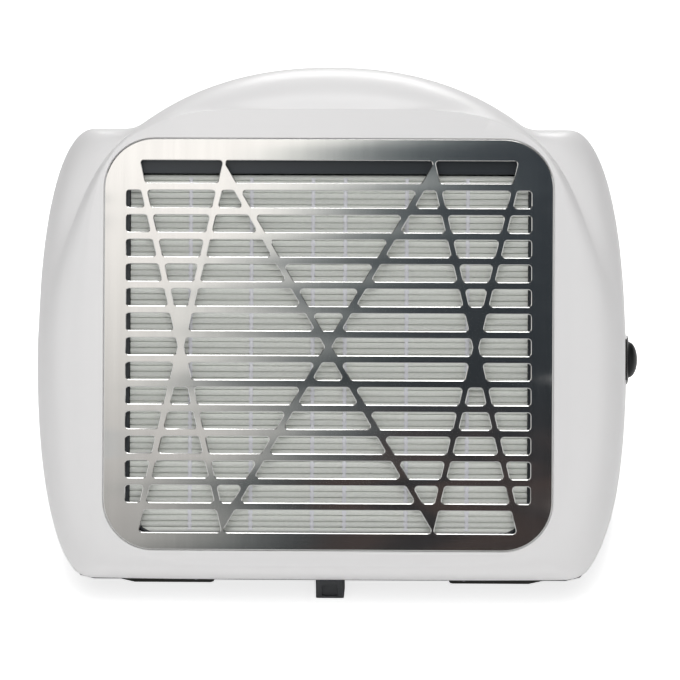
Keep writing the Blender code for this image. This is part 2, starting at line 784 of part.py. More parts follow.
base_cover = settle(bpy.data.objects.new("base_cover", housing_form.data.copy()), face, CHARCOAL)
cover_slab = box("cover_slab", (-REACH, -REACH, FOOT_HEIGHT), (REACH, REACH, COVER_TOP), stand)
boolean(base_cover, cover_slab, "INTERSECT")
for side in (-1, 1):
    for row, along in (("front", FRONT_SOLE_Y), ("rear", REAR_SOLE_Y)):
        hand = "left" if side < 0 else "right"
        pedestal = flat_solid(
            f"pedestal_{row}_{hand}",
            [sole_outline(side, PEDESTAL_MARGIN, along)],
            SOLE_THICK + GAP,
            FOOT_HEIGHT + COVER_THICK / 2,
            stand,
        )
        boolean(base_cover, pedestal, "UNION")
        flat_solid(
            f"foot_sole_{row}_{hand}", [sole_outline(side, 0, along)], 0, SOLE_THICK, stand, RUBBER
        )
for index, (across, along) in enumerate([(-1, -1), (1, -1), (-1, 1), (1, 1)]):
    post = pin(
        f"board_post_{index}",
        BOARD_POST_RADIUS,
        COVER_TOP - COVER_THICK / 2,
        COVER_TOP + BOARD_POST_HEIGHT,
        stand,
        (
            BOARD_PLACE[0] + across * (BOARD_WIDTH / 2 - BOARD_POST_INSET),
            BOARD_PLACE[1] + along * (BOARD_DEPTH / 2 - BOARD_POST_INSET),
        ),
        steps=8,
    )
    boolean(base_cover, post, "UNION")
screw_holes(base_cover, FOOT_HEIGHT - OVERRUN, COVER_TOP + OVERRUN)

centre_low = BASE_EDGE_Y + CENTRE_FOOT_SETBACK
centre_foot = flat_solid(
    "centre_foot",
    [
        rectangle(
            CENTRE_FOOT_WIDTH / 2, centre_low, centre_low + CENTRE_FOOT_DEPTH, CENTRE_FOOT_CORNER, 2
        )
    ],
    0,
    FOOT_HEIGHT - GAP,
    stand,
    CHARCOAL,
)
boolean(
    centre_foot,
    box(
        "centre_foot_recess",
        (-CENTRE_RECESS_WIDTH / 2, centre_low - OVERRUN, CENTRE_RECESS_RISE),
        (
            CENTRE_RECESS_WIDTH / 2,
            centre_low + CENTRE_RECESS_DEPTH,
            CENTRE_RECESS_RISE + CENTRE_RECESS_HEIGHT,
        ),
        stand,
    ),
)


def screw(name, radius, head_radius, length, frame, finish, place, turn=(0, 0, 0)):
    """A pan-head screw whose head lies below its origin and whose shank points along +Z."""
    head = [
        (0, length),
        (radius * SCREW_TIP_SHARE, length),
        (radius, length - radius),
        (radius, 0),
        (head_radius, 0),
        (head_radius, -SCREW_HEAD_HEIGHT * HEAD_EDGE_SHARE),
        (head_radius * HEAD_CROWN_SHARE, -SCREW_HEAD_HEIGHT),
        (0, -SCREW_HEAD_HEIGHT),
    ]
    return turned(name, head, frame, finish, place, turn, steps=8)


for index, (across, along, height) in enumerate(BOSS_PLACES):
    screw(
        f"cover_screw_{index + 1}",
        SCREW_RADIUS,
        SCREW_HEAD_RADIUS,
        COVER_SCREW_LENGTH,
        stand,
        STEEL,
        (across, along, FOOT_HEIGHT - GAP),
    )


# Grille plate


def web_half(spread):
    """Half of a web's width, measured level, where the web leans by its spread."""
    return WEB_WIDTH / 2 * math.hypot(spread, FIELD_RISE) / FIELD_RISE


def cross_edge(centre, spread, branch, side, up):
    """Where one side of one branch of a crossing lies at a height."""
    return centre + branch * spread * abs(up) / FIELD_RISE + side * web_half(spread)


def slot_bounds():
    """Pairs of edge functions, left to right; the pairs inside a crossing also cut the end rows."""
    crosses = [
        (-SIDE_CROSS, SIDE_CROSS_SPREAD),
        (0, MIDDLE_CROSS_SPREAD),
        (SIDE_CROSS, SIDE_CROSS_SPREAD),
    ]
    bounds = []
    previous = lambda up: -FIELD_HALF
    for centre, spread in crosses:
        outside = lambda up, c=centre, s=spread: cross_edge(c, s, -1, -1, up)
        inside_left = lambda up, c=centre, s=spread: cross_edge(c, s, -1, 1, up)
        inside_right = lambda up, c=centre, s=spread: cross_edge(c, s, 1, -1, up)
        bounds.append((previous, outside, False))
        bounds.append((inside_left, inside_right, True))
        previous = lambda up, c=centre, s=spread: cross_edge(c, s, 1, 1, up)
    bounds.append((previous, lambda up: FIELD_HALF, False))
    return bounds


def grille_slots():
    """Outlines of the slots, in a field that sits a little low on the plate."""
    rows = [
        (row * ROW_PITCH - SLOT_HEIGHT / 2, row * ROW_PITCH + SLOT_HEIGHT / 2, False)
        for row in range(-(ROW_COUNT // 2), ROW_COUNT // 2 + 1)
    ]
    inner_end = FIELD_RISE - END_SLOT_HEIGHT
    rows += [(-FIELD_RISE, -inner_end, True), (inner_end, FIELD_RISE, True)]
    slots = []
    for low, high, at_end in rows:
        for left, right, in_cross in slot_bounds():
            if at_end and not in_cross:
                continue
            heights = [low, 0, high] if low < 0 < high else [low, high]
            if min(right(up) - left(up) for up in (low, high)) < LEAST_SLOT:
                continue
            corners = [(right(up), up) for up in heights] + [(left(up), up) for up in reversed(heights)]
            outline = rounded(corners, SLOT_CORNER, SLOT_CORNER_STEPS)
            slots.append([(x, y - FIELD_DROP) for x, y in outline])
    return slots


flat_solid(
    "grille_plate",
    [rectangle(GRILLE_HALF, -GRILLE_RISE, GRILLE_RISE, GRILLE_CORNER, 8)] + grille_slots(),
    -GRILLE_THICK,
    0,
    face,
    STAINLESS,
)
for number, place in enumerate(MAGNET_PLACES):
    pin(
        f"grille_magnet_{number + 1}",
        MAGNET_RADIUS,
        -RECESS_DEPTH - MAGNET_THICK,
        -RECESS_DEPTH,
        face,
        place,
        NICKEL,
        16,
    )


# Filter tray behind the face, open to the fan
tray_outer = rectangle(
    WELL_HALF + TRAY_WALL, -WELL_RISE - TRAY_WALL, WELL_RISE + TRAY_WALL, WELL_CORNER + TRAY_WALL
)
tray = flat_solid(
    "filter_tray", [tray_outer], -TRAY_BOTTOM, -TRAY_TOP - TRAY_FLANGE_THICK / 2, face, SLATE
)
boolean(
    tray,
    flat_solid(
        "tray_flange",
        [
            rectangle(
                WELL_HALF + TRAY_FLANGE,
                -WELL_RISE - TRAY_FLANGE,
                WELL_RISE + TRAY_FLANGE,
                WELL_CORNER + TRAY_FLANGE,
            )
        ],
        -TRAY_TOP - TRAY_FLANGE_THICK,
        -TRAY_TOP,
        face,
    ),
    "UNION",
)
boolean(
    tray,
    flat_solid(
        "tray_room", [rectangle(WELL_HALF, -WELL_RISE, WELL_RISE, WELL_CORNER)], -TRAY_DEPTH, OVERRUN, face
    ),
)
FAN_HOLES = [(a * FAN_HOLE_PITCH / 2, b * FAN_HOLE_PITCH / 2) for a in (-1, 1) for b in (-1, 1)]
boolean(
    tray,
    flat_solid(
        "tray_openings",
        [circle(FAN_DUCT_RADIUS, steps=28)] + [circle(FAN_HOLE_RADIUS, at, 12) for at in FAN_HOLES],
        -TRAY_BOTTOM - OVERRUN,
        -TRAY_DEPTH + OVERRUN / 2,
        face,
    ),
)


# Filter cartridge
FILTER_HALF = WELL_HALF - FILTER_CLEARANCE
FILTER_RISE = WELL_RISE - FILTER_CLEARANCE
FILTER_CORNER = WELL_CORNER - FILTER_CLEARANCE
MEDIA_HALF = FILTER_HALF - FILTER_SIDE_BAR
MEDIA_LOW = -FILTER_RISE + FILTER_BOTTOM_BAR
MEDIA_HIGH = FILTER_RISE - FILTER_TOP_BAR
FILTER_BOTTOM = FILTER_SETBACK + FILTER_FRAME_DEPTH


def media_window(clearance):
    """The opening that the frame leaves for the pleats: tighter corners at the top."""
    low_corner = FILTER_CORNER - FILTER_SIDE_BAR - clearance
    high_corner = FILTER_TOP_CORNER - clearance
    radii = [low_corner, low_corner, high_corner, high_corner]
    return rectangle(MEDIA_HALF - clearance, MEDIA_LOW + clearance, MEDIA_HIGH - clearance, radii)


flat_solid(
    "filter_frame",
    [rectangle(FILTER_HALF, -FILTER_RISE, FILTER_RISE, FILTER_CORNER), media_window(0)],
    -FILTER_BOTTOM,
    -FILTER_SETBACK,
    face,
    SLATE,
)
flat_solid(
    "filter_gasket",
    [
        rectangle(FILTER_HALF, -FILTER_RISE, FILTER_RISE, FILTER_CORNER),
        rectangle(
            FILTER_HALF - GASKET_WIDTH, -FILTER_RISE + GASKET_WIDTH, FILTER_RISE - GASKET_WIDTH, FILTER_CORNER
        ),
    ],
    -FILTER_BOTTOM - GAP - GASKET_THICK,
    -FILTER_BOTTOM - GAP,
    face,
    FOAM,
)


def pleat_profile():
    """Heights and depths of the folded paper, from the bottom fold to the top one."""
    low = MEDIA_LOW + GAP + PAPER_THICK
    high = MEDIA_HIGH - GAP - PAPER_THICK
    count = round((high - low) / PLEAT_PITCH)
    pitch = (high - low) / count
    crest = pitch * PLEAT_CREST_SHARE
    front = -FILTER_SETBACK - PLEAT_INSET
    rear = front - PLEAT_DEPTH
    line = []
    for fold in range(count):
        start = low + fold * pitch
        line += [(start, front), (start + crest, front)]
        line += [(start + pitch / 2, rear), (start + pitch / 2 + crest, rear)]
    return line


def filter_media():
    shape = bmesh.new()
    half = MEDIA_HALF
    rows = [[shape.verts.new((x, y, z)) for x in (-half, half)] for y, z in pleat_profile()]
    for first, second in zip(rows, rows[1:]):
        shape.faces.new((first[0], first[1], second[1], second[0]))
    piece = from_bmesh("filter_media", shape, face, PAPER)
    sheet = piece.modifiers.new("paper", "SOLIDIFY")
    sheet.thickness = PAPER_THICK
    sheet.offset = 0
    trim = flat_solid("media_trim", [media_window(GAP)], -FILTER_BOTTOM, -FILTER_SETBACK, face)
    boolean(piece, trim, "INTERSECT")


filter_media()


# Axial fan: frame with struts and bearing tube, stator, bearings, shaft and bladed rotor
fan_frame = flat_solid(
    "fan_frame",
    [
        rectangle(FAN_SIDE / 2, -FAN_SIDE / 2, FAN_SIDE / 2, FAN_CORNER, 3),
        circle(FAN_DUCT_RADIUS, steps=28),
    ]
    + [circle(FAN_HOLE_RADIUS, at, 12) for at in FAN_HOLES],
    -FAN_BOTTOM,
    -FAN_TOP,
    face,
    BLACK,
)
boolean(
    fan_frame,
    flat_solid(
        "fan_waist",
        [
            rectangle(FAN_SIDE / 2 + OVERRUN, -FAN_SIDE / 2 - OVERRUN, FAN_SIDE / 2 + OVERRUN, FAN_CORNER, 3),
            circle(FAN_DUCT_RADIUS + FAN_DUCT_WALL, steps=28),
        ],
        -FAN_BOTTOM + FAN_FLANGE,
        -FAN_TOP - FAN_FLANGE,
        face,
    ),
)
STATOR_TOP = FAN_BOTTOM - STATOR_PLATE
ROTOR_TOP = FAN_TOP + ROTOR_SETBACK
ROTOR_BOTTOM = ROTOR_TOP + ROTOR_DEPTH
TUBE_TOP = ROTOR_TOP + 2 * ROTOR_HUB_WALL
tube = BEARING_RADIUS + GAP
stator_base = turned(
    "stator_base",
    [
        (BEARING_TUBE_RADIUS, -TUBE_TOP),
        (BEARING_TUBE_RADIUS, -STATOR_TOP),
        (ROTOR_HUB_RADIUS, -STATOR_TOP),
        (ROTOR_HUB_RADIUS, -FAN_BOTTOM),
        (tube, -FAN_BOTTOM),
        (tube, -TUBE_TOP),
    ],
    face,
)
boolean(fan_frame, stator_base, "UNION")
for index in range(STRUT_COUNT):
    strut = box(
        f"fan_strut_{index}",
        (ROTOR_HUB_RADIUS - STRUT_WIDTH / 2, -STRUT_WIDTH / 2, -FAN_BOTTOM),
        (FAN_DUCT_RADIUS + FAN_DUCT_WALL / 2, STRUT_WIDTH / 2, -STATOR_TOP),
        face,
    )
    strut.rotation_euler = (0, 0, math.tau * (index + 0.5) / STRUT_COUNT)
    boolean(fan_frame, strut, "UNION")

for name, top in (("front", TUBE_TOP), ("rear", FAN_BOTTOM - BEARING_THICK)):
    turned(
        f"fan_bearing_{name}",
        [
            (BEARING_RADIUS, -top),
            (BEARING_RADIUS, -top - BEARING_THICK),
            (BEARING_BORE, -top - BEARING_THICK),
            (BEARING_BORE, -top),
        ],
        face,
        STEEL,
        steps=16,
    )
pin("fan_shaft", SHAFT_RADIUS, -FAN_BOTTOM, -ROTOR_TOP - ROTOR_HUB_WALL / 2, face, finish=STEEL, steps=16)


def stator_outline():
    """Teeth of the wound core: broad heads on narrow necks."""
    line = []
    neck = BEARING_TUBE_RADIUS + STATOR_SLOT
    head = STATOR_RADIUS - STATOR_SLOT
    for tooth in range(STATOR_TEETH):
        middle = math.tau * tooth / STATOR_TEETH
        wide = math.tau / STATOR_TEETH * TOOTH_HEAD_SHARE
        slim = math.tau / STATOR_TEETH * TOOTH_NECK_SHARE
        for radius, turn in (
            (neck, -slim),
            (head, -slim),
            (head, -wide),
            (STATOR_RADIUS, -wide),
            (STATOR_RADIUS, 0),
            (STATOR_RADIUS, wide),
            (head, wide),
            (head, slim),
            (neck, slim),
        ):
            line.append((radius * math.cos(middle + turn), radius * math.sin(middle + turn)))
    return line


flat_solid(
    "fan_stator",
    [stator_outline(), circle(BEARING_TUBE_RADIUS + GAP)],
    -STATOR_TOP + GAP,
    -STATOR_TOP + GAP + STATOR_DEPTH,
    face,
    WINDING,
)


def blade_points(turn):
    """A cambered blade as rows of points from root to tip, its pitch easing outwards."""
    root = ROTOR_HUB_RADIUS - BLADE_ROOT_SINK
    tip = FAN_DUCT_RADIUS - FAN_TIP_CLEARANCE
    middle = -(ROTOR_TOP + ROTOR_BOTTOM) / 2
    rows = []
    for along in np.linspace(0, 1, BLADE_STEPS + 1):
        radius = root + (tip - root) * along
        pitch = BLADE_ROOT_PITCH + (BLADE_TIP_PITCH - BLADE_ROOT_PITCH) * along
        chord = BLADE_ROOT_CHORD + (BLADE_TIP_CHORD - BLADE_ROOT_CHORD) * along
        row = []
        for across in np.linspace(-0.5, 0.5, BLADE_STEPS + 1):
            arch = BLADE_CAMBER * (1 - 4 * across * across)
            level = chord * across * math.cos(pitch) - arch * math.sin(pitch)
            rise = chord * across * math.sin(pitch) + arch * math.cos(pitch)
            angle = turn + BLADE_SWEEP * along + level / radius
            row.append((radius * math.cos(angle), radius * math.sin(angle), middle + rise))
        rows.append(row)
    return rows


def fan_blades():
    shape = bmesh.new()
    for blade in range(BLADE_COUNT):
        rows = [
            [shape.verts.new(point) for point in row] for row in blade_points(math.tau * blade / BLADE_COUNT)
        ]
        for first, second in zip(rows, rows[1:]):
            for index in range(BLADE_STEPS):
                shape.faces.new((first[index], second[index], second[index + 1], first[index + 1]))
    blades = from_bmesh("fan_blades", shape, face)
    sheet = blades.modifiers.new("thickness", "SOLIDIFY")
    sheet.thickness = BLADE_THICK
    sheet.offset = 0
    return blades


hub_hole = SHAFT_RADIUS + GAP
inner_hub = ROTOR_HUB_RADIUS - ROTOR_HUB_WALL
hub_round = ROTOR_HUB_ROUND * HUB_ROUND_SHARE
rotor = turned(
    "fan_rotor",
    [
        (0, -ROTOR_TOP),
        (ROTOR_HUB_RADIUS - ROTOR_HUB_ROUND, -ROTOR_TOP),
        (ROTOR_HUB_RADIUS - hub_round, -ROTOR_TOP - hub_round),
        (ROTOR_HUB_RADIUS, -ROTOR_TOP - ROTOR_HUB_ROUND),
        (ROTOR_HUB_RADIUS, -ROTOR_BOTTOM),
        (inner_hub, -ROTOR_BOTTOM),
        (inner_hub, -ROTOR_TOP - ROTOR_HUB_WALL),
        (hub_hole, -ROTOR_TOP - ROTOR_HUB_WALL),
        (hub_hole, -ROTOR_TOP - ROTOR_HUB_WALL / 2 + GAP),
        (0, -ROTOR_TOP - ROTOR_HUB_WALL / 2 + GAP),
    ],
    face,
    BLACK,
)
boolean(rotor, fan_blades(), "UNION")
smooth(rotor)

for number, (across, up) in enumerate(FAN_HOLES):
    screw(
        f"fan_screw_{number + 1}",
        FAN_SCREW_RADIUS,
        FAN_SCREW_HEAD_RADIUS,
        FAN_FLANGE + TRAY_FLOOR + GAP,
        face,
        STEEL,
        (across, up, -FAN_TOP - FAN_FLANGE - GAP),
    )


# Push button, its bezel, nut and switch
def dome(radius, base, rise, steps):
    """Profile of a cap's crown from its middle out to its edge."""
    angles = [math.pi / 2 * (1 - step / steps) for step in range(steps + 1)]
    return [(radius * max(math.cos(a), 0), base + (rise - base) * math.sin(a)) for a in angles]


button_bezel = turned(
    "button_bezel",
    [
        (BUTTON_BORE, BUTTON_COLLAR_RISE),
        (BUTTON_BORE + BUTTON_BARREL_WALL / 3, BUTTON_COLLAR_RISE),
        (BUTTON_FLANGE_RADIUS, GAP + BUTTON_FLANGE_EDGE),
        (BUTTON_FLANGE_RADIUS, GAP),
        (BUTTON_BARREL_RADIUS, GAP),
        (BUTTON_BARREL_RADIUS, -BUTTON_BARREL_DEPTH),
        (BUTTON_BORE, -BUTTON_BARREL_DEPTH),
    ],
    face,
    BLACK,
    BUTTON_PLACE,
    TO_RIGHT,
)
power_button = turned(
    "power_button",
    dome(BUTTON_CAP_RADIUS, BUTTON_COLLAR_RISE, BUTTON_CAP_RISE, 5)
    + [
        (BUTTON_CAP_RADIUS, -BUTTON_CAP_SINK),
        (BUTTON_STEM_RADIUS, -BUTTON_CAP_SINK),
        (BUTTON_STEM_RADIUS, -BUTTON_CAP_SINK - BUTTON_STEM_DEPTH),
        (0, -BUTTON_CAP_SINK - BUTTON_STEM_DEPTH),
    ],
    face,
    BLACK,
    BUTTON_PLACE,
    TO_RIGHT,
)
switch_top = -BUTTON_BARREL_DEPTH - GAP
switch_bore = BUTTON_STEM_RADIUS + GAP
turned(
    "switch_body",
    [
        (0, switch_top - SWITCH_BORE_DEPTH),
        (switch_bore, switch_top - SWITCH_BORE_DEPTH),
        (switch_bore, switch_top),
        (SWITCH_RADIUS, switch_top),
        (SWITCH_RADIUS, switch_top - SWITCH_DEPTH),
        (0, switch_top - SWITCH_DEPTH),
    ],
    face,
    CHARCOAL,
    BUTTON_PLACE,
    TO_RIGHT,
)
nut_top = -WALL + NUT_SINK - GAP
nut = flat_solid(
    "switch_nut",
    [
        circle(BUTTON_BARREL_RADIUS + NUT_REACH, steps=6),
        circle(BUTTON_BARREL_RADIUS + GAP),
    ],
    nut_top - NUT_THICK,
    nut_top,
    face,
    STEEL,
)
nut.location = BUTTON_PLACE
nut.rotation_euler = TO_RIGHT

# Power socket in the back
turned(
    "power_socket",
    [
        (0, SOCKET_FLANGE_THICK - SOCKET_PIN_SETBACK),
        (SOCKET_PIN_RADIUS, SOCKET_FLANGE_THICK - SOCKET_PIN_SETBACK),
        (SOCKET_PIN_RADIUS, SOCKET_FLANGE_THICK - SOCKET_BORE_DEPTH),
        (SOCKET_BORE_RADIUS, SOCKET_FLANGE_THICK - SOCKET_BORE_DEPTH),
        (SOCKET_BORE_RADIUS, GAP + SOCKET_FLANGE_THICK),
        (SOCKET_FLANGE_RADIUS, GAP + SOCKET_FLANGE_THICK),
        (SOCKET_FLANGE_RADIUS, GAP),
        (SOCKET_BODY_RADIUS, GAP),
        (SOCKET_BODY_RADIUS, -SOCKET_DEPTH),
        (0, -SOCKET_DEPTH),
    ],
    stand,
    BLACK,
    SOCKET_PLACE,
    TO_BACK,
    16,
)

# Control board on its posts
control_board = box(
    "control_board",
    (BOARD_PLACE[0] - BOARD_WIDTH / 2, BOARD_PLACE[1] - BOARD_DEPTH / 2, BOARD_LOW),
    (BOARD_PLACE[0] + BOARD_WIDTH / 2, BOARD_PLACE[1] + BOARD_DEPTH / 2, BOARD_LOW + BOARD_THICK),
    stand,
    BOARD_GREEN,
)
BOARD_MIDDLE = BOARD_LOW + BOARD_THICK / 2
boolean(
    control_board,
    pin(
        "board_capacitor",
        CAPACITOR_RADIUS,
        BOARD_MIDDLE,
        BOARD_LOW + BOARD_THICK + CAPACITOR_HEIGHT,
        stand,
        (BOARD_PLACE[0] - BOARD_WIDTH / 4, BOARD_PLACE[1]),
        steps=16,
    ),
    "UNION",
)
for name, across, along, half_width, half_depth, height in (
    ("connector_in", 1, 1, CONNECTOR_WIDTH / 2, CONNECTOR_DEPTH / 2, CONNECTOR_HEIGHT),
    ("connector_fan", 1, -1, CONNECTOR_WIDTH / 2, CONNECTOR_DEPTH / 2, CONNECTOR_HEIGHT),
    ("driver_chip", 0, 0, CHIP_SIDE / 2, CHIP_SIDE / 2, CHIP_HEIGHT),
):
    x = BOARD_PLACE[0] + across * BOARD_WIDTH * CONNECTOR_SHARE
    y = BOARD_PLACE[1] + along * BOARD_DEPTH * CONNECTOR_SHARE
    block = box(
        f"board_{name}",
        (x - half_width, y - half_depth, BOARD_MIDDLE),
        (x + half_width, y + half_depth, BOARD_LOW + BOARD_THICK + height),
        stand,
    )
    boolean(control_board, block, "UNION")
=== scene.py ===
"""Looks of the desktop nail dust collector, laid out as an add-on and run as a script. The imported
model is loaded as a fixed frame; each operator dresses one piece or group of like pieces.
Metres, +Z up, the grille faces -Y."""

import json
import math

import bmesh
import bpy
from mathutils import Matrix, Vector


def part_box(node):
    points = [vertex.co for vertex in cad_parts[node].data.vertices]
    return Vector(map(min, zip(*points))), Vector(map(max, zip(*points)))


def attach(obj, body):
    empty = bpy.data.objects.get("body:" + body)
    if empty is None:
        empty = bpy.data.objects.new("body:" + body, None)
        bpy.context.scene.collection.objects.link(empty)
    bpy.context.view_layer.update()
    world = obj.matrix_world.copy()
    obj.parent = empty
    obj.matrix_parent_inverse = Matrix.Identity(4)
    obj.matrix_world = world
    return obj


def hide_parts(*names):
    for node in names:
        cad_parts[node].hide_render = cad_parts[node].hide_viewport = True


bl_info = {
    "name": "Nail dust collector",
    "version": (1, 0, 0),
    "blender": (4, 5, 0),
    "location": "3D View > Sidebar > Collector",
    "description": "Dresses the packed nail dust collector piece by piece",
    "category": "Object",
}

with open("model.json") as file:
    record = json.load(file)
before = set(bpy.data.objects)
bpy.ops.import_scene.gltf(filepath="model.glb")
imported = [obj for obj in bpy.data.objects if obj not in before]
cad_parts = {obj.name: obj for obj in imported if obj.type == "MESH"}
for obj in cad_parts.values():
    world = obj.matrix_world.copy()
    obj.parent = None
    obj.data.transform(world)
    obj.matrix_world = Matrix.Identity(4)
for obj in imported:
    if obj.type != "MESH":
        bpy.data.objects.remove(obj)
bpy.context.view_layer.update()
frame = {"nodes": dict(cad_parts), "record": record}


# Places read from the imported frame
FACE_LEAN = math.radians(25)
LEAN_SIN = math.sin(FACE_LEAN)
LEAN_COS = math.cos(FACE_LEAN)
LEAN_TAN = math.tan(FACE_LEAN)
PLATE_LOW, PLATE_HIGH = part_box("grille_plate")
PLATE_THICK = 0.001
PLATE_HALF = (PLATE_HIGH.x - PLATE_LOW.x) / 2
PLATE_RISE = (PLATE_HIGH.z - PLATE_LOW.z - PLATE_THICK * LEAN_SIN) / LEAN_COS / 2
FACE_PLACE = (PLATE_LOW + PLATE_HIGH) / 2 + Vector((0, -LEAN_COS, LEAN_SIN)) * PLATE_THICK / 2
FACE = Matrix.Translation(FACE_PLACE) @ Matrix.Rotation(math.pi / 2 - FACE_LEAN, 4, "X")
COVER_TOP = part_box("front_shell")[0].z
BACK_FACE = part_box("rear_shell")[1].y
BACK = Matrix.Translation((FACE_PLACE.x, BACK_FACE, 0)) @ Matrix.Rotation(math.pi / 2, 4, "X")

GAP = 0.0003
MERGE = 1e-6
AROUND = 480
BAR_TWIST = 0.11  # how far a grille bar's normal leans sideways, as a slope
SOLE_TAPER, SOLE_CORNER, SOLE_EDGE = 0.007, 0.002, 0.0004
PANEL_RISE, PANEL_SIZE = 0.0041, (0.0074, 0.0024, 0.0056)

# The stage, in metres, watts and degrees
FLOOR_GLOW, FLOOR_GLOW_SEEN = 0.2, 0.55
WORLD_FRONT, WORLD_BACK = 1.36, 0.45
WORLD_MIDDLE, WORLD_SIDE, WORLD_SIDE_END = 1.0, 0.03, 0.85
LIGHTS = {
    "key_light": ((0.0, -0.35, 1.7), (0.8, 0.5), 6.5),
    "top_light": ((0.0, 1.2, 0.9), (0.7, 0.5), 6),
}
CARD_OUT = 0.13
CARD_SLOPE, CARD_START = -0.36, -0.0326
CARD_STOPS = (
    (0.0, "#FFFBF8"),
    (0.12, "#F7F5F2"),
    (0.29, "#CBCCCA"),
    (0.45, "#8D9192"),
    (0.63, "#5A6063"),
    (0.8, "#3D4348"),
    (1.0, "#2F353B"),
)
CARD_BROWN = "#60524F"
CAMERA_TURN, CAMERA_RISE, CAMERA_ROLL = 2.9, 24.6, -0.95
CAMERA_DISTANCE, CAMERA_WIDTH, CAMERA_SENSOR = 4.0, 0.3122, 36
CAMERA_AIM = (0.0054, 0.00218, 0)


def length(name, description, default):
    return bpy.props.FloatProperty(
        name=name, description=description, default=default, precision=5, subtype="DISTANCE", unit="LENGTH"
    )


def srgb_part(value):
    return value / 12.92 if value <= 0.04045 else ((value + 0.055) / 1.055) ** 2.4


def hex_colour(text):
    """An sRGB hex colour as linear red, green and blue."""
    return tuple(srgb_part(int(text[i : i + 2], 16) / 255) for i in (1, 3, 5))


def colour(name, description, default):
    return bpy.props.FloatVectorProperty(
        name=name, description=description, default=hex_colour(default), subtype="COLOR", min=0, max=1
    )


class HousingSizes(bpy.types.PropertyGroup):
    """Sizes of the moulded housing, seen square to its leaning face"""

    face_side: length("Face beside grille", "Flat of the face beside the grille plate", 0.0068)
    face_above: length("Face above grille", "Flat of the face above the grille plate", 0.0096)
    face_below: length("Face below grille", "Flat of the face below the grille plate", 0.0066)
    cheek: length("Cheek", "From the grille plate to the side of the body", 0.0326)
    cheek_round: length("Cheek round", "Reach of the rounded side of the barrel", 0.0264)
    shoulder: length("Shoulder", "From the grille plate up to the barrel's top", 0.0054)
    chin: length("Chin", "From the grille plate down to the chin", 0.0144)
    crown: length("Crown", "From the grille plate up to the crown", 0.0339)
    waist_drop: length("Waist drop", "How far the widest level lies below the plate's middle", 0.006)
    roll_depth: length("Roll depth", "Depth of the rolled front edge", 0.026)
    shoulder_step: length("Shoulder step", "How far the barrel stands back from the face", 0.005)
    shoulder_inset: length("Shoulder inset", "How far the barrel stays inside the arch", 0.0004)
    split_depth: length("Split depth", "Depth of the seam between the shells", 0.034)
    band_depth: length("Band depth", "Depth where the back starts to turn in", 0.042)
    back_depth: length("Back depth", "Depth of the back at the crown", 0.060)
    back_inset: length("Back inset", "How far the back's rounding draws in", 0.026)
    wall: length("Wall", "Thickness of the moulded wall", 0.0025)
    face_wall: length("Face wall", "Thickness of the face round the grille", 0.0045)
    crease: length("Crease fillet", "Softness of the crease between crown and shoulder", 0.0032)


class GrilleSizes(bpy.types.PropertyGroup):
    """Sizes of the laser-cut plate and its slots"""

    slot_height: length("Slot height", "Height of the slots of a middle row", 0.0079)
    bar_height: length("Bar height", "Height of the level bars", 0.0034)
    end_slot_height: length("End slot height", "Height of the slots in the end rows", 0.01035)
    field_half: length("Field half width", "Half the width of the slotted field", 0.0931)
    field_drop: length("Field drop", "How far the field sits below the plate's middle", 0.0010)
    slot_corner: length("Slot corner", "Radius at the corners of a slot", 0.0014)
    least_slot: length("Least slot", "Slots narrower than this are left out", 0.0035)
    web_width: length("Web width", "Width of the crossing webs", 0.0029)
    side_cross: length("Side cross", "Place of the outer crossings from the middle", 0.0678)
    side_spread: length("Side spread", "How far the outer webs lean out by the field's ends", 0.0206)
    middle_spread: length("Middle spread", "How far the middle webs lean out by the field's ends", 0.0503)
    plate_corner: length("Plate corner", "Radius at the corners of the plate", 0.023)
    clearance: length("Clearance", "Gap between the plate and its recess", 0.0004)
    edge: length("Cut edge", "Width of the eased edge that laser cutting leaves", 0.00032)
    edge_depth: length("Cut edge depth", "Depth of the eased edge", 0.00019)
    side_ledge: length("Side ledge", "Ledge under the plate at its sides", 0.0077)
    end_ledge: length("End ledge", "Ledge under the plate at its ends", 0.0054)
    well_corner: length("Well corner", "Radius at the corners of the well", 0.020)


class FilterSizes(bpy.types.PropertyGroup):
    """Sizes of the pleated cartridge"""

    clearance: length("Clearance", "Gap between the cartridge and its well", 0.0006)
    setback: length("Setback", "How far the cartridge lies behind the face", 0.003)
    frame_depth: length("Frame depth", "Depth of the cartridge's frame", 0.021)
    side_bar: length("Side bar", "Width of the frame's sides", 0.0032)
    top_bar: length("Top bar", "Width of the frame's top", 0.0099)
    bottom_bar: length("Bottom bar", "Width of the frame's bottom", 0.0012)
    bottom_corner: length("Bottom corner", "Radius at the bottom of the frame's window", 0.0145)
    top_corner: length("Top corner", "Radius at the top of the frame's window", 0.006)
    pleat_pitch: length("Pleat pitch", "Distance from one fold to the next", 0.00276)
    pleat_inset: length("Pleat inset", "How far the folds lie behind the frame's front", 0.0022)
    pleat_depth: length("Pleat depth", "Depth of the folds", 0.0140)
    pleat_gap: length("Pleat gap", "Gap between neighbouring folds at the front", 0.00026)
    paper: length("Paper", "Thickness of the filter paper", 0.0002)
    bead_inner: length("Inner glue lines", "Place of the inner glue lines from the middle", 0.0074)
    bead_middle: length("Middle glue lines", "Place of the middle glue lines", 0.0357)
    bead_outer: length("Outer glue lines", "Place of the outer glue lines", 0.0637)
    bead_width: length("Glue width", "Width of a glue line", 0.0026)


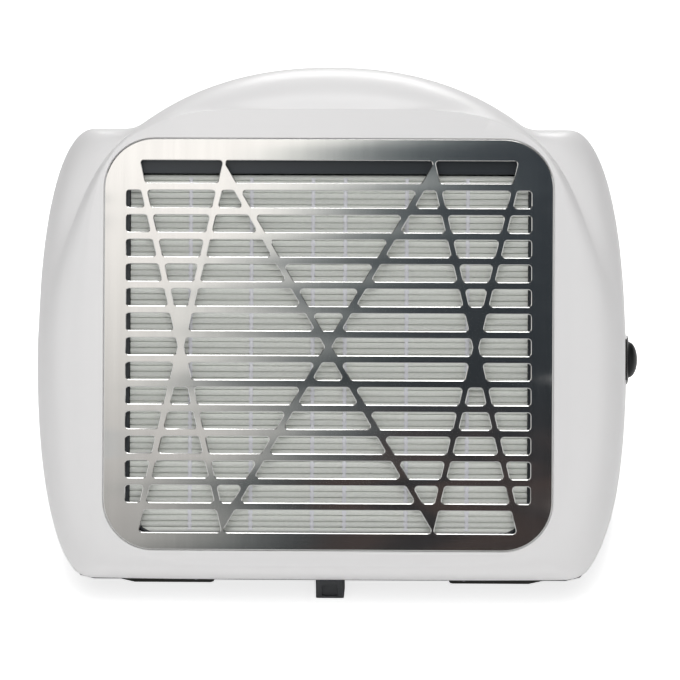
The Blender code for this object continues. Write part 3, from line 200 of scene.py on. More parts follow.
class ControlSizes(bpy.types.PropertyGroup):
    """Sizes of the push button and the power socket"""

    button_depth: length("Button depth", "How far the button lies behind the face", 0.060)
    flange_radius: length("Flange radius", "Radius of the button's bezel", 0.0115)
    flange_edge: length("Flange edge", "Thickness of the bezel's rim", 0.0003)
    collar_rise: length("Collar rise", "How far the bezel's collar stands out", 0.0012)
    cap_radius: length("Cap radius", "Radius of the button's cap", 0.0083)
    cap_rise: length("Cap rise", "How far the cap stands out", 0.0053)
    cap_sink: length("Cap sink", "How far the cap reaches into its barrel", 0.005)
    barrel_wall: length("Barrel wall", "Wall of the bezel's barrel", 0.0010)
    barrel_depth: length("Barrel depth", "Depth of the bezel's barrel", 0.012)
    stem_radius: length("Stem radius", "Radius of the cap's stem", 0.0022)
    stem_depth: length("Stem depth", "Length of the cap's stem", 0.009)
    socket_radius: length("Socket hole", "Radius of the socket's hole", 0.0059)


class CollectorColours(bpy.types.PropertyGroup):
    """Colours of the finishes"""

    housing: colour("Housing", "White moulded housing", "#F2F1F1")
    steel: colour("Plate", "Brushed stainless plate", "#C9C9C7")
    paper: colour("Paper", "Filter paper", "#F1F3EE")
    glue: colour("Glue", "Glue on the folds", "#EFEFF5")
    slate: colour("Slate", "Filter frame and tray", "#2A3036")
    black: colour("Black", "Button, fan and socket", "#17181A")
    charcoal: colour("Charcoal", "Base and centre foot", "#3B3D40")
    rubber: colour("Rubber", "Foot soles", "#3A3A36")
    zinc: colour("Zinc", "Screws, shaft and bearings", "#B9BBC0")
    nickel: colour("Nickel", "Magnets", "#D2CFC8")
    copper: colour("Copper", "Stator windings", "#B87348")
    laminate: colour("Laminate", "Control board", "#1E5A36")
    foam: colour("Foam", "Filter gasket", "#222325")
    floor: colour("Floor", "Studio floor", "#F3F3F3")


# Mesh tools


def deselect():
    """Leaves nothing selected, so that the next operator acts on its own piece alone."""
    if bpy.context.object and bpy.context.object.mode != "OBJECT":
        bpy.ops.object.mode_set(mode="OBJECT")
    bpy.ops.object.select_all(action="DESELECT")


def pick(piece):
    deselect()
    piece.select_set(True)
    bpy.context.view_layer.objects.active = piece


def along(across, up, outside, reach=0.4):
    """How far a ray from the middle runs before it leaves an outline."""
    low, high = 0.0, reach
    for _ in range(40):
        middle = (low + high) / 2
        if outside(middle * across, middle * up) > 0:
            high = middle
        else:
            low = middle
    return low


def rounded_corners(x, y, half, rise, corner):
    """Above zero outside a rounded rectangle round the origin."""
    over_x = abs(x) - half + corner
    over_y = abs(y) - rise + corner
    return math.hypot(max(over_x, 0), max(over_y, 0)) + min(max(over_x, over_y), 0) - corner


def extruded_rings(name, rings, cap=False):
    """A circle whose rim is extruded ring by ring, each ring fitted to its section."""
    deselect()
    bpy.ops.mesh.primitive_circle_add(vertices=len(rings[0]))
    piece = bpy.context.object
    piece.name = piece.data.name = name
    bpy.ops.object.mode_set(mode="EDIT")
    bpy.ops.mesh.select_mode(type="EDGE")
    bpy.ops.mesh.select_all(action="SELECT")
    mesh = bmesh.from_edit_mesh(piece.data)
    station = mesh.verts.layers.int.new("station")
    for index, vert in enumerate(mesh.verts):
        vert[station] = index
        vert.co = rings[0][index]
    for ring in rings[1:]:
        bpy.ops.mesh.extrude_edges_indiv()
        mesh = bmesh.from_edit_mesh(piece.data)
        station = mesh.verts.layers.int["station"]
        for vert in mesh.verts:
            if vert.select:
                vert.co = ring[vert[station]]
    bmesh.update_edit_mesh(piece.data)
    bpy.ops.mesh.select_all(action="SELECT")
    bpy.ops.mesh.remove_doubles(threshold=MERGE)
    if cap:
        bpy.ops.mesh.fill_holes(sides=0)
    bpy.ops.mesh.normals_make_consistent(inside=False)
    bpy.ops.object.mode_set(mode="OBJECT")
    piece.data.attributes.remove(piece.data.attributes["station"])
    return piece


def turned(name, profile, steps=48):
    """A closed profile of (radius, height) points, extruded round the Z axis."""
    rings = []
    for radius, height in profile:
        angles = [math.tau * step / steps for step in range(steps)]
        rings.append([Vector((radius * math.cos(a), radius * math.sin(a), height)) for a in angles])
    return extruded_rings(name, rings)


def flat_piece(name, outlines, low, high, edge=0.0, edge_steps=2, edge_depth=None):
    """Filled outlines drawn as a 2D curve, made a solid with eased edges, which may be shallow."""
    curve = bpy.data.curves.new(name, "CURVE")
    curve.dimensions = "2D"
    curve.fill_mode = "BOTH"
    curve.extrude = (high - low) / 2 - edge
    curve.bevel_depth = edge
    curve.bevel_resolution = edge_steps - 1
    curve.offset = -edge
    for outline in outlines:
        spline = curve.splines.new("POLY")
        spline.points.add(len(outline) - 1)
        for point, (x, y) in zip(spline.points, outline):
            point.co = (x, y, 0, 1)
        spline.use_cyclic_u = True
    piece = bpy.data.objects.new(name, curve)
    bpy.context.scene.collection.objects.link(piece)
    pick(piece)
    bpy.ops.object.convert(target="MESH")
    piece = bpy.context.object
    piece.data.name = name
    bpy.ops.object.mode_set(mode="EDIT")
    bpy.ops.mesh.select_all(action="SELECT")
    bpy.ops.mesh.remove_doubles(threshold=MERGE)
    bpy.ops.mesh.beautify_fill(angle_limit=math.radians(1))
    bpy.ops.mesh.normals_make_consistent(inside=False)
    bpy.ops.object.mode_set(mode="OBJECT")
    half = (high - low) / 2
    if edge_depth:
        for vert in piece.data.vertices:
            if abs(vert.co.z) < half - edge + MERGE:
                vert.co.z = math.copysign(half - edge_depth, vert.co.z)
    piece.data.transform(Matrix.Translation((0, 0, (low + high) / 2)))
    return piece


def ease_edges(piece, width, steps):
    bevel = piece.modifiers.new("eased edges", "BEVEL")
    bevel.width = width
    bevel.segments = steps
    bevel.limit_method = "ANGLE"
    bevel.angle_limit = math.radians(50)
    pick(piece)
    bpy.ops.object.modifier_apply(modifier=bevel.name)


def cut(piece, cutter, operation="DIFFERENCE"):
    modifier = piece.modifiers.new("cut", "BOOLEAN")
    modifier.operation = operation
    modifier.solver = "EXACT"
    modifier.object = cutter
    pick(piece)
    bpy.ops.object.modifier_apply(modifier=modifier.name)
    bpy.data.objects.remove(cutter, do_unlink=True)


def rounded(corners, radii, steps):
    """The polygon with each corner turned into an arc, as far as its sides leave room."""
    outline = []
    count = len(corners)
    for index in range(count):
        before, corner, after = (Vector(corners[(index + k) % count]) for k in (-1, 0, 1))
        radius = radii[index] if isinstance(radii, list) else radii
        back, ahead = before - corner, after - corner
        half = back.angle(ahead) / 2
        reach = min(radius / math.tan(half), 0.49 * min(back.length, ahead.length))
        centre = corner + (back.normalized() + ahead.normalized()).normalized() * (reach / math.cos(half))
        start = corner + back.normalized() * reach - centre
        sweep = start.angle_signed(corner + ahead.normalized() * reach - centre)
        for step in range(steps + 1):
            spin = -sweep * step / steps
            turned_x = start.x * math.cos(spin) - start.y * math.sin(spin)
            turned_y = start.x * math.sin(spin) + start.y * math.cos(spin)
            outline.append((centre.x + turned_x, centre.y + turned_y))
    return outline


def rectangle(half, low, high, radii, steps=12, middle=0):
    corners = [(middle - half, low), (middle + half, low), (middle + half, high), (middle - half, high)]
    return rounded(corners, radii, steps)


def place(piece, matrix, material, body, slot, replaced=(), angle=math.radians(30)):
    """Puts a finished piece where it belongs, inside its mesh, and hands it to its body."""
    piece.data.transform(matrix)
    if matrix.determinant() < 0:
        piece.data.flip_normals()
    pick(piece)
    bpy.ops.object.shade_smooth_by_angle(angle=angle)
    piece.data.materials.clear()
    piece.data.materials.append(material)
    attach(piece, body)
    if replaced:
        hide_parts(*replaced)
    return piece


# Materials


def add_node(tree, kind, settings=(), links=()):
    """Adds a node, sets its options and inputs, and links what feeds it."""
    node = tree.nodes.new(kind)
    for name, value in dict(settings).items():
        if isinstance(name, int) or name in node.inputs:
            node.inputs[name].default_value = value
        else:
            setattr(node, name, value)
    for name, source in dict(links).items():
        tree.links.new(source, node.inputs[name])
    return node


def new_material(name, base, roughness, metallic=0.0, **more):
    """A Principled material whose uniform values sit on the shader's own sockets."""
    material = bpy.data.materials.new(name)
    material.use_nodes = True
    shader = material.node_tree.nodes["Principled BSDF"]
    shader.inputs["Base Color"].default_value = (*base, 1)
    shader.inputs["Roughness"].default_value = roughness
    shader.inputs["Metallic"].default_value = metallic
    for key, value in more.items():
        shader.inputs[key.replace("_", " ")].default_value = value
    return material


def pattern_space(tree, size_mm, turn=(0, 0, 0)):
    """Object coordinates scaled so that one unit of a pattern is a size in millimetres."""
    coordinates = add_node(tree, "ShaderNodeTexCoord")
    size = size_mm if isinstance(size_mm, tuple) else (size_mm, size_mm, size_mm)
    turned_back = add_node(
        tree, "ShaderNodeMapping", {"Rotation": turn}, {"Vector": coordinates.outputs["Object"]}
    )
    return add_node(
        tree,
        "ShaderNodeMapping",
        {"Scale": tuple(1000 / s for s in size)},
        {"Vector": turned_back.outputs["Vector"]},
    )


def add_bump(tree, height, distance, strength=1.0, normal=None):
    """Adds relief to the surface, or to a normal that is already turned."""
    links = {"Height": height, "Normal": normal} if normal else {"Height": height}
    bump = add_node(tree, "ShaderNodeBump", {"Distance": distance, "Strength": strength}, links)
    tree.links.new(bump.outputs["Normal"], tree.nodes["Principled BSDF"].inputs["Normal"])


def noise(tree, detail, *space, **values):
    """Adds a noise texture in the space that pattern_space makes of a size and a turn."""
    values = {"Scale": 1.0, "Detail": detail, **values}
    vector = pattern_space(tree, *space).outputs["Vector"]
    return add_node(tree, "ShaderNodeTexNoise", values, {"Vector": vector})


def calculate(tree, operation, first, second):
    """Adds a maths node; a number is a value and anything else is linked."""
    given = {0: first, 1: second}
    values = {key: value for key, value in given.items() if isinstance(value, float)}
    links = {key: value for key, value in given.items() if key not in values}
    return add_node(tree, "ShaderNodeMath", {"operation": operation, **values}, links).outputs["Value"]


def map_range(tree, value, start, end, low=0.0, high=1.0):
    """Maps start to end onto low to high, held at both ends."""
    values = {"From Min": start, "From Max": end, "To Min": low, "To Max": high}
    return add_node(tree, "ShaderNodeMapRange", values, {"Value": value}).outputs["Result"]


def vary(tree, factor, low, high, socket):
    """Runs an input of the shader between two values by a pattern."""
    spread = map_range(tree, factor, 0.3, 0.7, low, high)
    tree.links.new(spread, tree.nodes["Principled BSDF"].inputs[socket])


def vary_colour(tree, factor, dark, light):
    ramp = add_node(tree, "ShaderNodeValToRGB", (), {"Fac": factor})
    ramp.color_ramp.elements[0].position = 0.3
    ramp.color_ramp.elements[0].color = (*dark, 1)
    ramp.color_ramp.elements[1].position = 0.7
    ramp.color_ramp.elements[1].color = (*light, 1)
    tree.links.new(ramp.outputs["Color"], tree.nodes["Principled BSDF"].inputs["Base Color"])


def shade_of(base, share):
    return tuple(part * share for part in base)


def gloss_abs(colours):
    """Injection-moulded ABS: a soft shine over white, with the faint unevenness of a moulded wall in
    its reflections."""
    coat = {"Coat_Weight": 0.06, "Coat_Roughness": 0.15}
    material = new_material("gloss_moulded_abs", colours.housing, 0.38, IOR=1.5, **coat)
    tree = material.node_tree
    broad = noise(tree, 2.0, 38).outputs["Fac"]
    fine = noise(tree, 3.0, 6).outputs["Fac"]
    vary_colour(tree, broad, shade_of(colours.housing, 0.992), colours.housing)
    vary(tree, fine, 0.36, 0.40, "Roughness")
    add_bump(tree, broad, 0.00005, 0.2)
    return material


def brushed_stainless(colours):
    """Belt-brushed stainless sheet: fine scratches run up the plate, 0.3 mm apart as drawn, and
    spread reflections across them."""
    material = new_material("brushed_stainless", colours.steel, 0.16, 1.0)
    tree = material.node_tree
    lean = (-(math.pi / 2 - FACE_LEAN), 0, 0)
    grain = noise(tree, 4.0, (0.22, 45, 45), lean, Roughness=0.65).outputs["Fac"]
    broad = noise(tree, 2.0, (5, 160, 160), lean).outputs["Fac"]
    tone = calculate(tree, "MULTIPLY", calculate(tree, "ADD", grain, broad), 0.5)
    vary_colour(tree, tone, shade_of(colours.steel, 0.9), colours.steel)
    vary(tree, grain, 0.12, 0.19, "Roughness")
    # The thin bars are twisted a little out of true, so a reflection breaks from one to the next
    bent = noise(tree, 1.0, (260, 17, 17), lean).outputs["Fac"]
    twist = map_range(tree, bent, 0.25, 0.75, -BAR_TWIST, BAR_TWIST)
    sideways = add_node(tree, "ShaderNodeCombineXYZ", (), {"X": twist})
    flat = add_node(tree, "ShaderNodeNewGeometry")
    sum_of = {0: flat.outputs["Normal"], 1: sideways.outputs["Vector"]}
    leaning = add_node(tree, "ShaderNodeVectorMath", {"operation": "ADD"}, sum_of)
    unit = {0: leaning.outputs["Vector"]}
    twisted = add_node(tree, "ShaderNodeVectorMath", {"operation": "NORMALIZE"}, unit)
    add_bump(tree, grain, 0.00001, 0.4, twisted.outputs["Vector"])
    return material


def filter_paper(colours):
    """Pressed cellulose paper: matt, fibrous and slightly uneven in tone."""
    material = new_material("cellulose_filter_paper", colours.paper, 0.92, Specular_IOR_Level=0.25)
    tree = material.node_tree
    fibres = add_node(
        tree,
        "ShaderNodeTexNoise",
        {"Scale": 1.0, "Detail": 5.0, "Roughness": 0.7},
        {"Vector": pattern_space(tree, (1.6, 0.7, 0.7)).outputs["Vector"]},
    )
    vary_colour(tree, fibres.outputs["Fac"], shade_of(colours.paper, 0.9), colours.paper)
    add_bump(tree, fibres.outputs["Fac"], 0.0001, 0.5)
    return material


def grained(name, base, roughness, grain_mm, depth, spread=0.12, **more):
    """A moulded or cast finish with a fine grain in tone, gloss and relief."""
    material = new_material(name, base, roughness, **more)
    tree = material.node_tree
    grain = add_node(
        tree,
        "ShaderNodeTexNoise",
        {"Scale": 1.0, "Detail": 4.0, "Roughness": 0.6},
        {"Vector": pattern_space(tree, grain_mm).outputs["Vector"]},
    )
    vary_colour(tree, grain.outputs["Fac"], shade_of(base, 1 - spread), base)
    vary(tree, grain.outputs["Fac"], roughness - 0.05, roughness + 0.05, "Roughness")
    add_bump(tree, grain.outputs["Fac"], depth, 0.6)
    return material


def make_materials(colours):
    """One material for each finish, named for what it is."""
    return {
        "housing": gloss_abs(colours),
        "grille": brushed_stainless(colours),
        "paper": filter_paper(colours),
        # Hot-melt glue: translucent and waxy, cool against the paper
        "glue": grained("hot_melt_glue", colours.glue, 0.5, 0.8, 0.00002, 0.05),
        # Spark-eroded polypropylene: dark, slightly waxy
        "slate": grained("slate_polypropylene", colours.slate, 0.5, 0.9, 0.00004),
        # Closed-cell foam: dead matt with open pores
        "foam": grained("closed_cell_foam", colours.foam, 0.95, 0.5, 0.0001, 0.3),
        # Moulded rubber: matt, dusty grey on its raised grain
        "sole": grained("moulded_rubber", colours.rubber, 0.78, 0.7, 0.00008, 0.3),
        # Satin ABS: black with a soft shine
        "black": grained("satin_black_abs", colours.black, 0.42, 1.2, 0.00002, 0.15, Specular_IOR_Level=0.2),
        # Textured ABS of the base: fine leathery spark erosion
        "charcoal": grained("textured_charcoal_abs", colours.charcoal, 0.55, 0.8, 0.00008, 0.2),
        # Zinc plating: bright, a little cloudy
        "fastener": grained("zinc_plated_steel", colours.zinc, 0.32, 1.5, 0.00002, 0.2, metallic=1.0),
        # Nickel plating: warm and close to a mirror
        "magnet": grained("nickel_plating", colours.nickel, 0.2, 2.0, 0.00001, 0.1, metallic=1.0),
        # Enamelled copper wire
        "winding": grained("enamelled_copper", colours.copper, 0.35, 0.5, 0.00005, 0.4, metallic=1.0),
        # Solder mask over glass laminate
        "board": grained("solder_mask_laminate", colours.laminate, 0.4, 1.0, 0.00002, 0.25),
    }


# Housing form


def housing_outline(across, up, s, barrel):
    """Reach of the arched form, or of the barrel form that it runs through, from the waist's middle."""
    bulge = 2.2
    body = PLATE_HALF + s.cheek
    core, reach = body - s.cheek_round, s.cheek_round
    height = PLATE_RISE + s.chin - s.waist_drop
    if up > 0 and not barrel:
        core, reach = 0, body
        height = PLATE_RISE + s.crown + s.waist_drop
    elif up > 0:
        height = PLATE_RISE + s.shoulder + s.waist_drop
    if barrel:
        reach -= s.shoulder_inset

    def outside(x, y):
        return (max(abs(x) - core, 0) / reach) ** bulge + (abs(y) / height) ** bulge - 1

    return along(across, up, outside)


def face_flat(across, up, s):
    bulge = 5.4
    half = PLATE_HALF + s.face_side
    rise = PLATE_RISE + (s.face_above + s.waist_drop if up > 0 else s.face_below - s.waist_drop)
    return ((abs(across) / half) ** bulge + (abs(up) / rise) ** bulge) ** (-1 / bulge)


def soft_greater(first, second, softness):
    """The greater of two lengths, eased where they are close."""
    near = max(softness - abs(first - second), 0) / softness if softness > 0 else 0
    return max(first, second) + near * near * softness / 4


class HousingForm:
    """Radii of the arched and barrel forms along each direction from the waist's middle."""

    def __init__(self, s):
        self.s = s
        angles = [math.tau * step / AROUND for step in range(AROUND)]
        self.rays = [(math.cos(a), math.sin(a)) for a in angles]
        self.arch = [housing_outline(x, y, s, False) for x, y in self.rays]
        self.barrel = [housing_outline(x, y, s, True) for x, y in self.rays]
        self.flat = [face_flat(x, y, s) for x, y in self.rays]

    def softness(self, index):
        """The crease is filleted on the crown's flanks and dies out at the waist."""
        height = self.rays[index][1] * self.arch[index]
        share = min(max(height / (3 * self.s.cheek_round), 0), 1)
        return self.s.crease * share * share * (3 - 2 * share)

    def ring(self, radii, depth, slant=0.0):
        points = []
        for (across, up), radius in zip(self.rays, radii):
            y = radius * up - self.s.waist_drop
            lean = slant * LEAN_TAN * (PLATE_RISE + self.s.crown - y)
            points.append(Vector((radius * across, y, -depth - lean)))
        return points

    def rectangle_ring(self, half, rise, corner, depth):
        """A ring on a rounded rectangle round the plate's middle."""
        drop = self.s.waist_drop
        radii = [
            along(x, y, lambda px, py: rounded_corners(px, py - drop, half, rise, corner)) for x, y in self.rays
        ]
        return self.ring(radii, depth)

    def rolled(self, index, depth, wall):
        """Reach of the union of both forms at a depth of the rolled front edge."""
        s = self.s
        reaches = []
        for start, full in ((wall, self.arch[index]), (s.shoulder_step + wall, self.barrel[index])):
            share = min(max((depth - start) / (s.roll_depth - start), 0), 1)
            spread = math.sqrt(1 - (1 - share) ** 2)
            if depth < start:
                spread = -1
            reaches.append(self.flat[index] + (full - self.flat[index]) * spread)
        return soft_greater(reaches[0], reaches[1], self.softness(index))

    def band(self, index):
        return soft_greater(self.arch[index], self.barrel[index], self.softness(index))

    def front_rings(self, wall, steps):
        """From the flat of the face over the rolled edge to the seam."""
        s = self.s
        depths = set()
        for start in (wall, s.shoulder_step + wall):
            for step in range(steps + 1):
                turn = math.pi / 2 * step / steps
                depths.add(round(start + (s.roll_depth - start) * (1 - math.cos(turn)), 6))
        rings = []
        for depth in sorted(depths):
            rings.append(self.ring([self.rolled(i, depth, wall) - wall for i in range(AROUND)], depth))
        return rings

    def back_rings(self, wall, steps):
        """Along the band and round to the upright back."""
        s = self.s
        rings = []
        full = [self.band(i) for i in range(AROUND)]
        back_depth = s.back_depth - wall / LEAN_COS
        for step in range(steps + 1):
            turn = math.pi / 2 * step / steps
            depth = s.band_depth + (back_depth - s.band_depth) * math.sin(turn)
            slant = 0.6 + 0.4 * math.sin(turn)
            inset = wall + s.back_inset * (1 - math.cos(turn))
            rings.append(self.ring([radius - inset for radius in full], depth, slant))
        return rings


def below_base(level):
    """A block that cuts the shells level above the base cover."""
    deselect()
    bpy.ops.mesh.primitive_cube_add(size=1, location=(0, 0, level - 0.25), scale=(1, 1, 0.5))
    bpy.ops.object.transform_apply(location=True, rotation=True, scale=True)
    return bpy.context.object


MATERIALS = {}


def finishes(context):
    if not MATERIALS:
        MATERIALS.update(make_materials(context.scene.collector_colours))
    return MATERIALS


class COLLECTOR_OT_front_shell(bpy.types.Operator):
    """Front shell: rolled face, arched crown running through the barrel, recess and well"""

    bl_idname = "collector.front_shell"
    bl_label = "Front shell"

    def execute(self, context):
        s = context.scene.housing_sizes
        g = context.scene.grille_sizes
        form = HousingForm(s)
        recess_depth = PLATE_THICK + GAP
        lip = 0.0003
        well = (PLATE_HALF - g.side_ledge, PLATE_RISE - g.end_ledge, g.well_corner)
        recess = (PLATE_HALF + g.clearance, PLATE_RISE + g.clearance, g.plate_corner + g.clearance)
        rings = [
            form.rectangle_ring(*well, s.face_wall),
            form.rectangle_ring(*well, recess_depth),
            form.rectangle_ring(*recess, recess_depth),
            form.rectangle_ring(*recess, lip),
            form.rectangle_ring(*(size + lip for size in recess), 0),
        ]
        rings += form.front_rings(0, 20)
        full = [form.band(i) for i in range(AROUND)]
        rings.append(form.ring(full, s.split_depth - lip))
        rings.append(form.ring([radius - lip for radius in full], s.split_depth))
        rings.append(form.ring([radius - s.wall for radius in full], s.split_depth))
        inner = form.front_rings(s.wall, 6)
        inner = [[Vector((p.x, p.y, min(p.z, -s.face_wall))) for p in ring] for ring in inner]
        rings += list(reversed(inner))
        rings.append(rings[0])
        piece = extruded_rings("front_shell_skin", rings)
        piece.data.transform(FACE)
        cut(piece, below_base(COVER_TOP))
        place(piece, Matrix(), finishes(context)["housing"], "housing", "housing", ["front_shell"])
        return {"FINISHED"}


class COLLECTOR_OT_rear_shell(bpy.types.Operator):
    """Rear shell: band, upright back with its vents, button hole and socket hole"""

    bl_idname = "collector.rear_shell"
    bl_label = "Rear shell"

    def vent_cutter(self):
        """Rows of slots that fill a circle, broken by two upright ribs."""
        radius, pitch, slot = 0.056, 0.0118, 0.0050
        rib, rib_span, height, least = 0.005, 0.019, 0.112, 0.012
        outlines = []
        rows = int(radius / pitch)
        for row in range(-rows, rows + 1):
            level = row * pitch
            half = math.sqrt(radius**2 - level**2)
            inner, outer = rib_span - rib / 2, rib_span + rib / 2
            spans = [(-min(inner, half), min(inner, half))]
            if half - outer > least:
                spans += [(outer, half), (-half, -outer)]
            for low, high in spans:
                outlines.append(
                    rectangle(
                        (high - low) / 2,
                        height + level - slot / 2,
                        height + level + slot / 2,
                        slot * 0.49,
                        8,
                        (low + high) / 2,
                    )
                )
        return outlines

    def execute(self, context):
        s = context.scene.housing_sizes
        c = context.scene.control_sizes
        form = HousingForm(s)
        lip = 0.0003
        full = [form.band(i) for i in range(AROUND)]
        front = s.split_depth + GAP
        rings = [
            form.ring([radius - lip for radius in full], front),
            form.ring(full, front + lip),
        ]
        outer = form.back_rings(0, 14)
        inner = form.back_rings(s.wall, 6)
        rings = [form.ring([radius - s.wall for radius in full], front)] + rings + outer
        piece = extruded_rings("rear_shell_skin", list(reversed(inner)) + rings, cap=True)
        piece.data.transform(FACE)
        cut(piece, below_base(COVER_TOP))
        vents = flat_piece("vent_cutter", self.vent_cutter(), -0.004, s.wall + 0.004)
        vents.data.transform(BACK)
        cut(piece, vents)
        deselect()
        hole_radius = c.cap_radius + GAP + c.barrel_wall + GAP
        side = FACE @ Vector((PLATE_HALF + s.cheek, -s.waist_drop, -c.button_depth))
        bpy.ops.mesh.primitive_cylinder_add(
            vertices=48, radius=hole_radius, depth=0.02, location=side, rotation=(0, math.pi / 2, 0)
        )
        cut(piece, bpy.context.object)
        low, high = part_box("power_socket")
        deselect()
        bpy.ops.mesh.primitive_cylinder_add(
            vertices=40,
            radius=c.socket_radius,
            depth=0.012,
            location=((low.x + high.x) / 2, BACK_FACE, (low.z + high.z) / 2),
            rotation=(math.pi / 2, 0, 0),
        )
        cut(piece, bpy.context.object)
        place(piece, Matrix(), finishes(context)["housing"], "housing", "housing", ["rear_shell"])
        return {"FINISHED"}


class COLLECTOR_OT_grille(bpy.types.Operator):
    """Grille: laser-cut plate with rows of slots and crossing webs"""

    bl_idname = "collector.grille"
    bl_label = "Grille"

    def slots(self, g):
        rows_each_way = 6
        pitch = g.slot_height + g.bar_height
        rise = ((2 * rows_each_way + 1) * pitch + g.bar_height) / 2 + g.end_slot_height

        def edge(centre, spread, branch, side, up):
            half = g.web_width / 2 * math.hypot(spread, rise) / rise
            return centre + branch * spread * abs(up) / rise + side * half

        crosses = [(-g.side_cross, g.side_spread), (0, g.middle_spread), (g.side_cross, g.side_spread)]
        rows = [
            (row * pitch - g.slot_height / 2, row * pitch + g.slot_height / 2, False)
            for row in range(-rows_each_way, rows_each_way + 1)
        ]
        rows += [(-rise, g.end_slot_height - rise, True), (rise - g.end_slot_height, rise, True)]
        outlines = []
        for low, high, at_end in rows:
            heights = [low, 0, high] if low < 0 < high else [low, high]
            bounds = []
            left = [-g.field_half for _ in heights]
            for centre, spread in crosses:
                bounds.append((left, [edge(centre, spread, -1, -1, up) for up in heights], False))
                inside = [[edge(centre, spread, b, -b, up) for up in heights] for b in (-1, 1)]
                bounds.append((inside[0], inside[1], True))
                left = [edge(centre, spread, 1, 1, up) for up in heights]
            bounds.append((left, [g.field_half for _ in heights], False))
            for left_xs, right_xs, in_cross in bounds:
                if at_end and not in_cross:
                    continue
                ends = (0, len(heights) - 1)
                if min(right_xs[i] - left_xs[i] for i in ends) < g.least_slot:
                    continue
                corners = list(zip(right_xs, heights)) + list(zip(left_xs, heights))[::-1]
                outline = rounded(corners, g.slot_corner, 4)
                outlines.append([(x, y - g.field_drop) for x, y in outline])
        return outlines

    def execute(self, context):
        g = context.scene.grille_sizes
        outlines = [rectangle(PLATE_HALF, -PLATE_RISE, PLATE_RISE, g.plate_corner, 16)] + self.slots(g)
        piece = flat_piece("grille_sheet", outlines, -PLATE_THICK, 0, g.edge, 1, g.edge_depth)
        place(piece, FACE, finishes(context)["grille"], "grille", "grille", ["grille_plate"])
        return {"FINISHED"}


class COLLECTOR_OT_filter(bpy.types.Operator):
    """Filter: moulded frame, folded paper and the glue lines that hold its folds apart"""

    bl_idname = "collector.filter"
    bl_label = "Filter"

    def window(self, f, half, rise, clearance):
        low = f.bottom_corner - clearance
        high = f.top_corner - clearance
        return rectangle(
            half - f.side_bar - clearance,
            -rise + f.bottom_bar + clearance,
            rise - f.top_bar - clearance,
            [low, low, high, high],
            8,
        )

    def fold_line(self, f, low, high):
        """Heights and depths of the folded paper: broad round fronts with narrow gaps between them."""
        count = round((high - low) / f.pleat_pitch)
        pitch = (high - low) / count
        front = -f.setback - f.pleat_inset
        half = (pitch - f.pleat_gap) / 2
        belly = 0.5 * pitch
        line = []
        for fold in range(count):
            middle = low + (fold + 0.5) * pitch
            for step in range(9):
                turn = math.pi * step / 8
                line.append((middle - half * math.cos(turn), front - belly * (1 - math.sin(turn) ** 0.8)))
            line.append((middle + half, front - f.pleat_depth))
            if fold < count - 1:
                line.append((middle + half + f.pleat_gap, front - f.pleat_depth))
        return line, count, pitch, front

    def execute(self, context):
        f = context.scene.filter_sizes
        g = context.scene.grille_sizes
        half = PLATE_HALF - g.side_ledge - f.clearance
        rise = PLATE_RISE - g.end_ledge - f.clearance
        corner = g.well_corner - f.clearance
        surround = [rectangle(half, -rise, rise, corner), self.window(f, half, rise, 0)]
        piece = flat_piece("filter_surround", surround, -f.setback - f.frame_depth, -f.setback, 0.0005)
        place(piece, FACE, finishes(context)["slate"], "filter", "slate", ["filter_frame"])

        low = -rise + f.bottom_bar + GAP + f.paper
        high = rise - f.top_bar - GAP - f.paper
        line, count, pitch, front = self.fold_line(f, low, high)
        deselect()
        bpy.ops.mesh.primitive_grid_add(x_subdivisions=1, y_subdivisions=len(line) - 1, size=1)
        paper = bpy.context.object
        paper.name = paper.data.name = "pleated_paper"
        across = half - f.side_bar
        for vert in paper.data.vertices:
            y, z = line[round((vert.co.y + 0.5) * (len(line) - 1))]
            vert.co = (math.copysign(across, vert.co.x), y, z)
        sheet = paper.modifiers.new("paper", "SOLIDIFY")
        sheet.thickness = f.paper
        sheet.offset = 0
        pick(paper)
        bpy.ops.object.modifier_apply(modifier=sheet.name)
        cut(
            paper,
            flat_piece(
                "paper_trim", [self.window(f, half, rise, GAP)], -f.setback - f.frame_depth, -f.setback
            ),
            "INTERSECT",
        )
        place(paper, FACE, finishes(context)["paper"], "filter", "paper", ["filter_media"])

        beads = self.glue_lines(f, low, count, pitch, front)
        place(beads, FACE, finishes(context)["glue"], "filter", "paper")
        return {"FINISHED"}

    def glue_lines(self, f, low, count, pitch, front):
        """Six lines of glue that bridge the folds, pinched in over each gap."""
        strips = []
        places = (f.bead_inner, f.bead_middle, f.bead_outer)
        for x in sorted([-place for place in places] + list(places)):
            rings = []
            for step in range(count * 8 - 7):
                y = low + (0.5 + step / 8) * pitch
                swell = 0.5 + 0.5 * math.cos(math.tau * step / 8)
                half = f.bead_width / 2 * (0.55 + 0.45 * swell)
                sink = 0.00006 + 0.00026 * (1 - swell)
                ring = []
                for corner in range(10):
                    turn = math.tau * corner / 10
                    ring.append(Vector((x + half * math.cos(turn), y, front - sink + 0.00032 * math.sin(turn))))
                rings.append(ring)
            strips.append(extruded_rings("glue_line", rings, cap=True))
        deselect()
        for strip in strips:
            strip.select_set(True)
        bpy.context.view_layer.objects.active = strips[0]
        bpy.ops.object.join()
        strips[0].name = strips[0].data.name = "glue_beads"
        return strips[0]


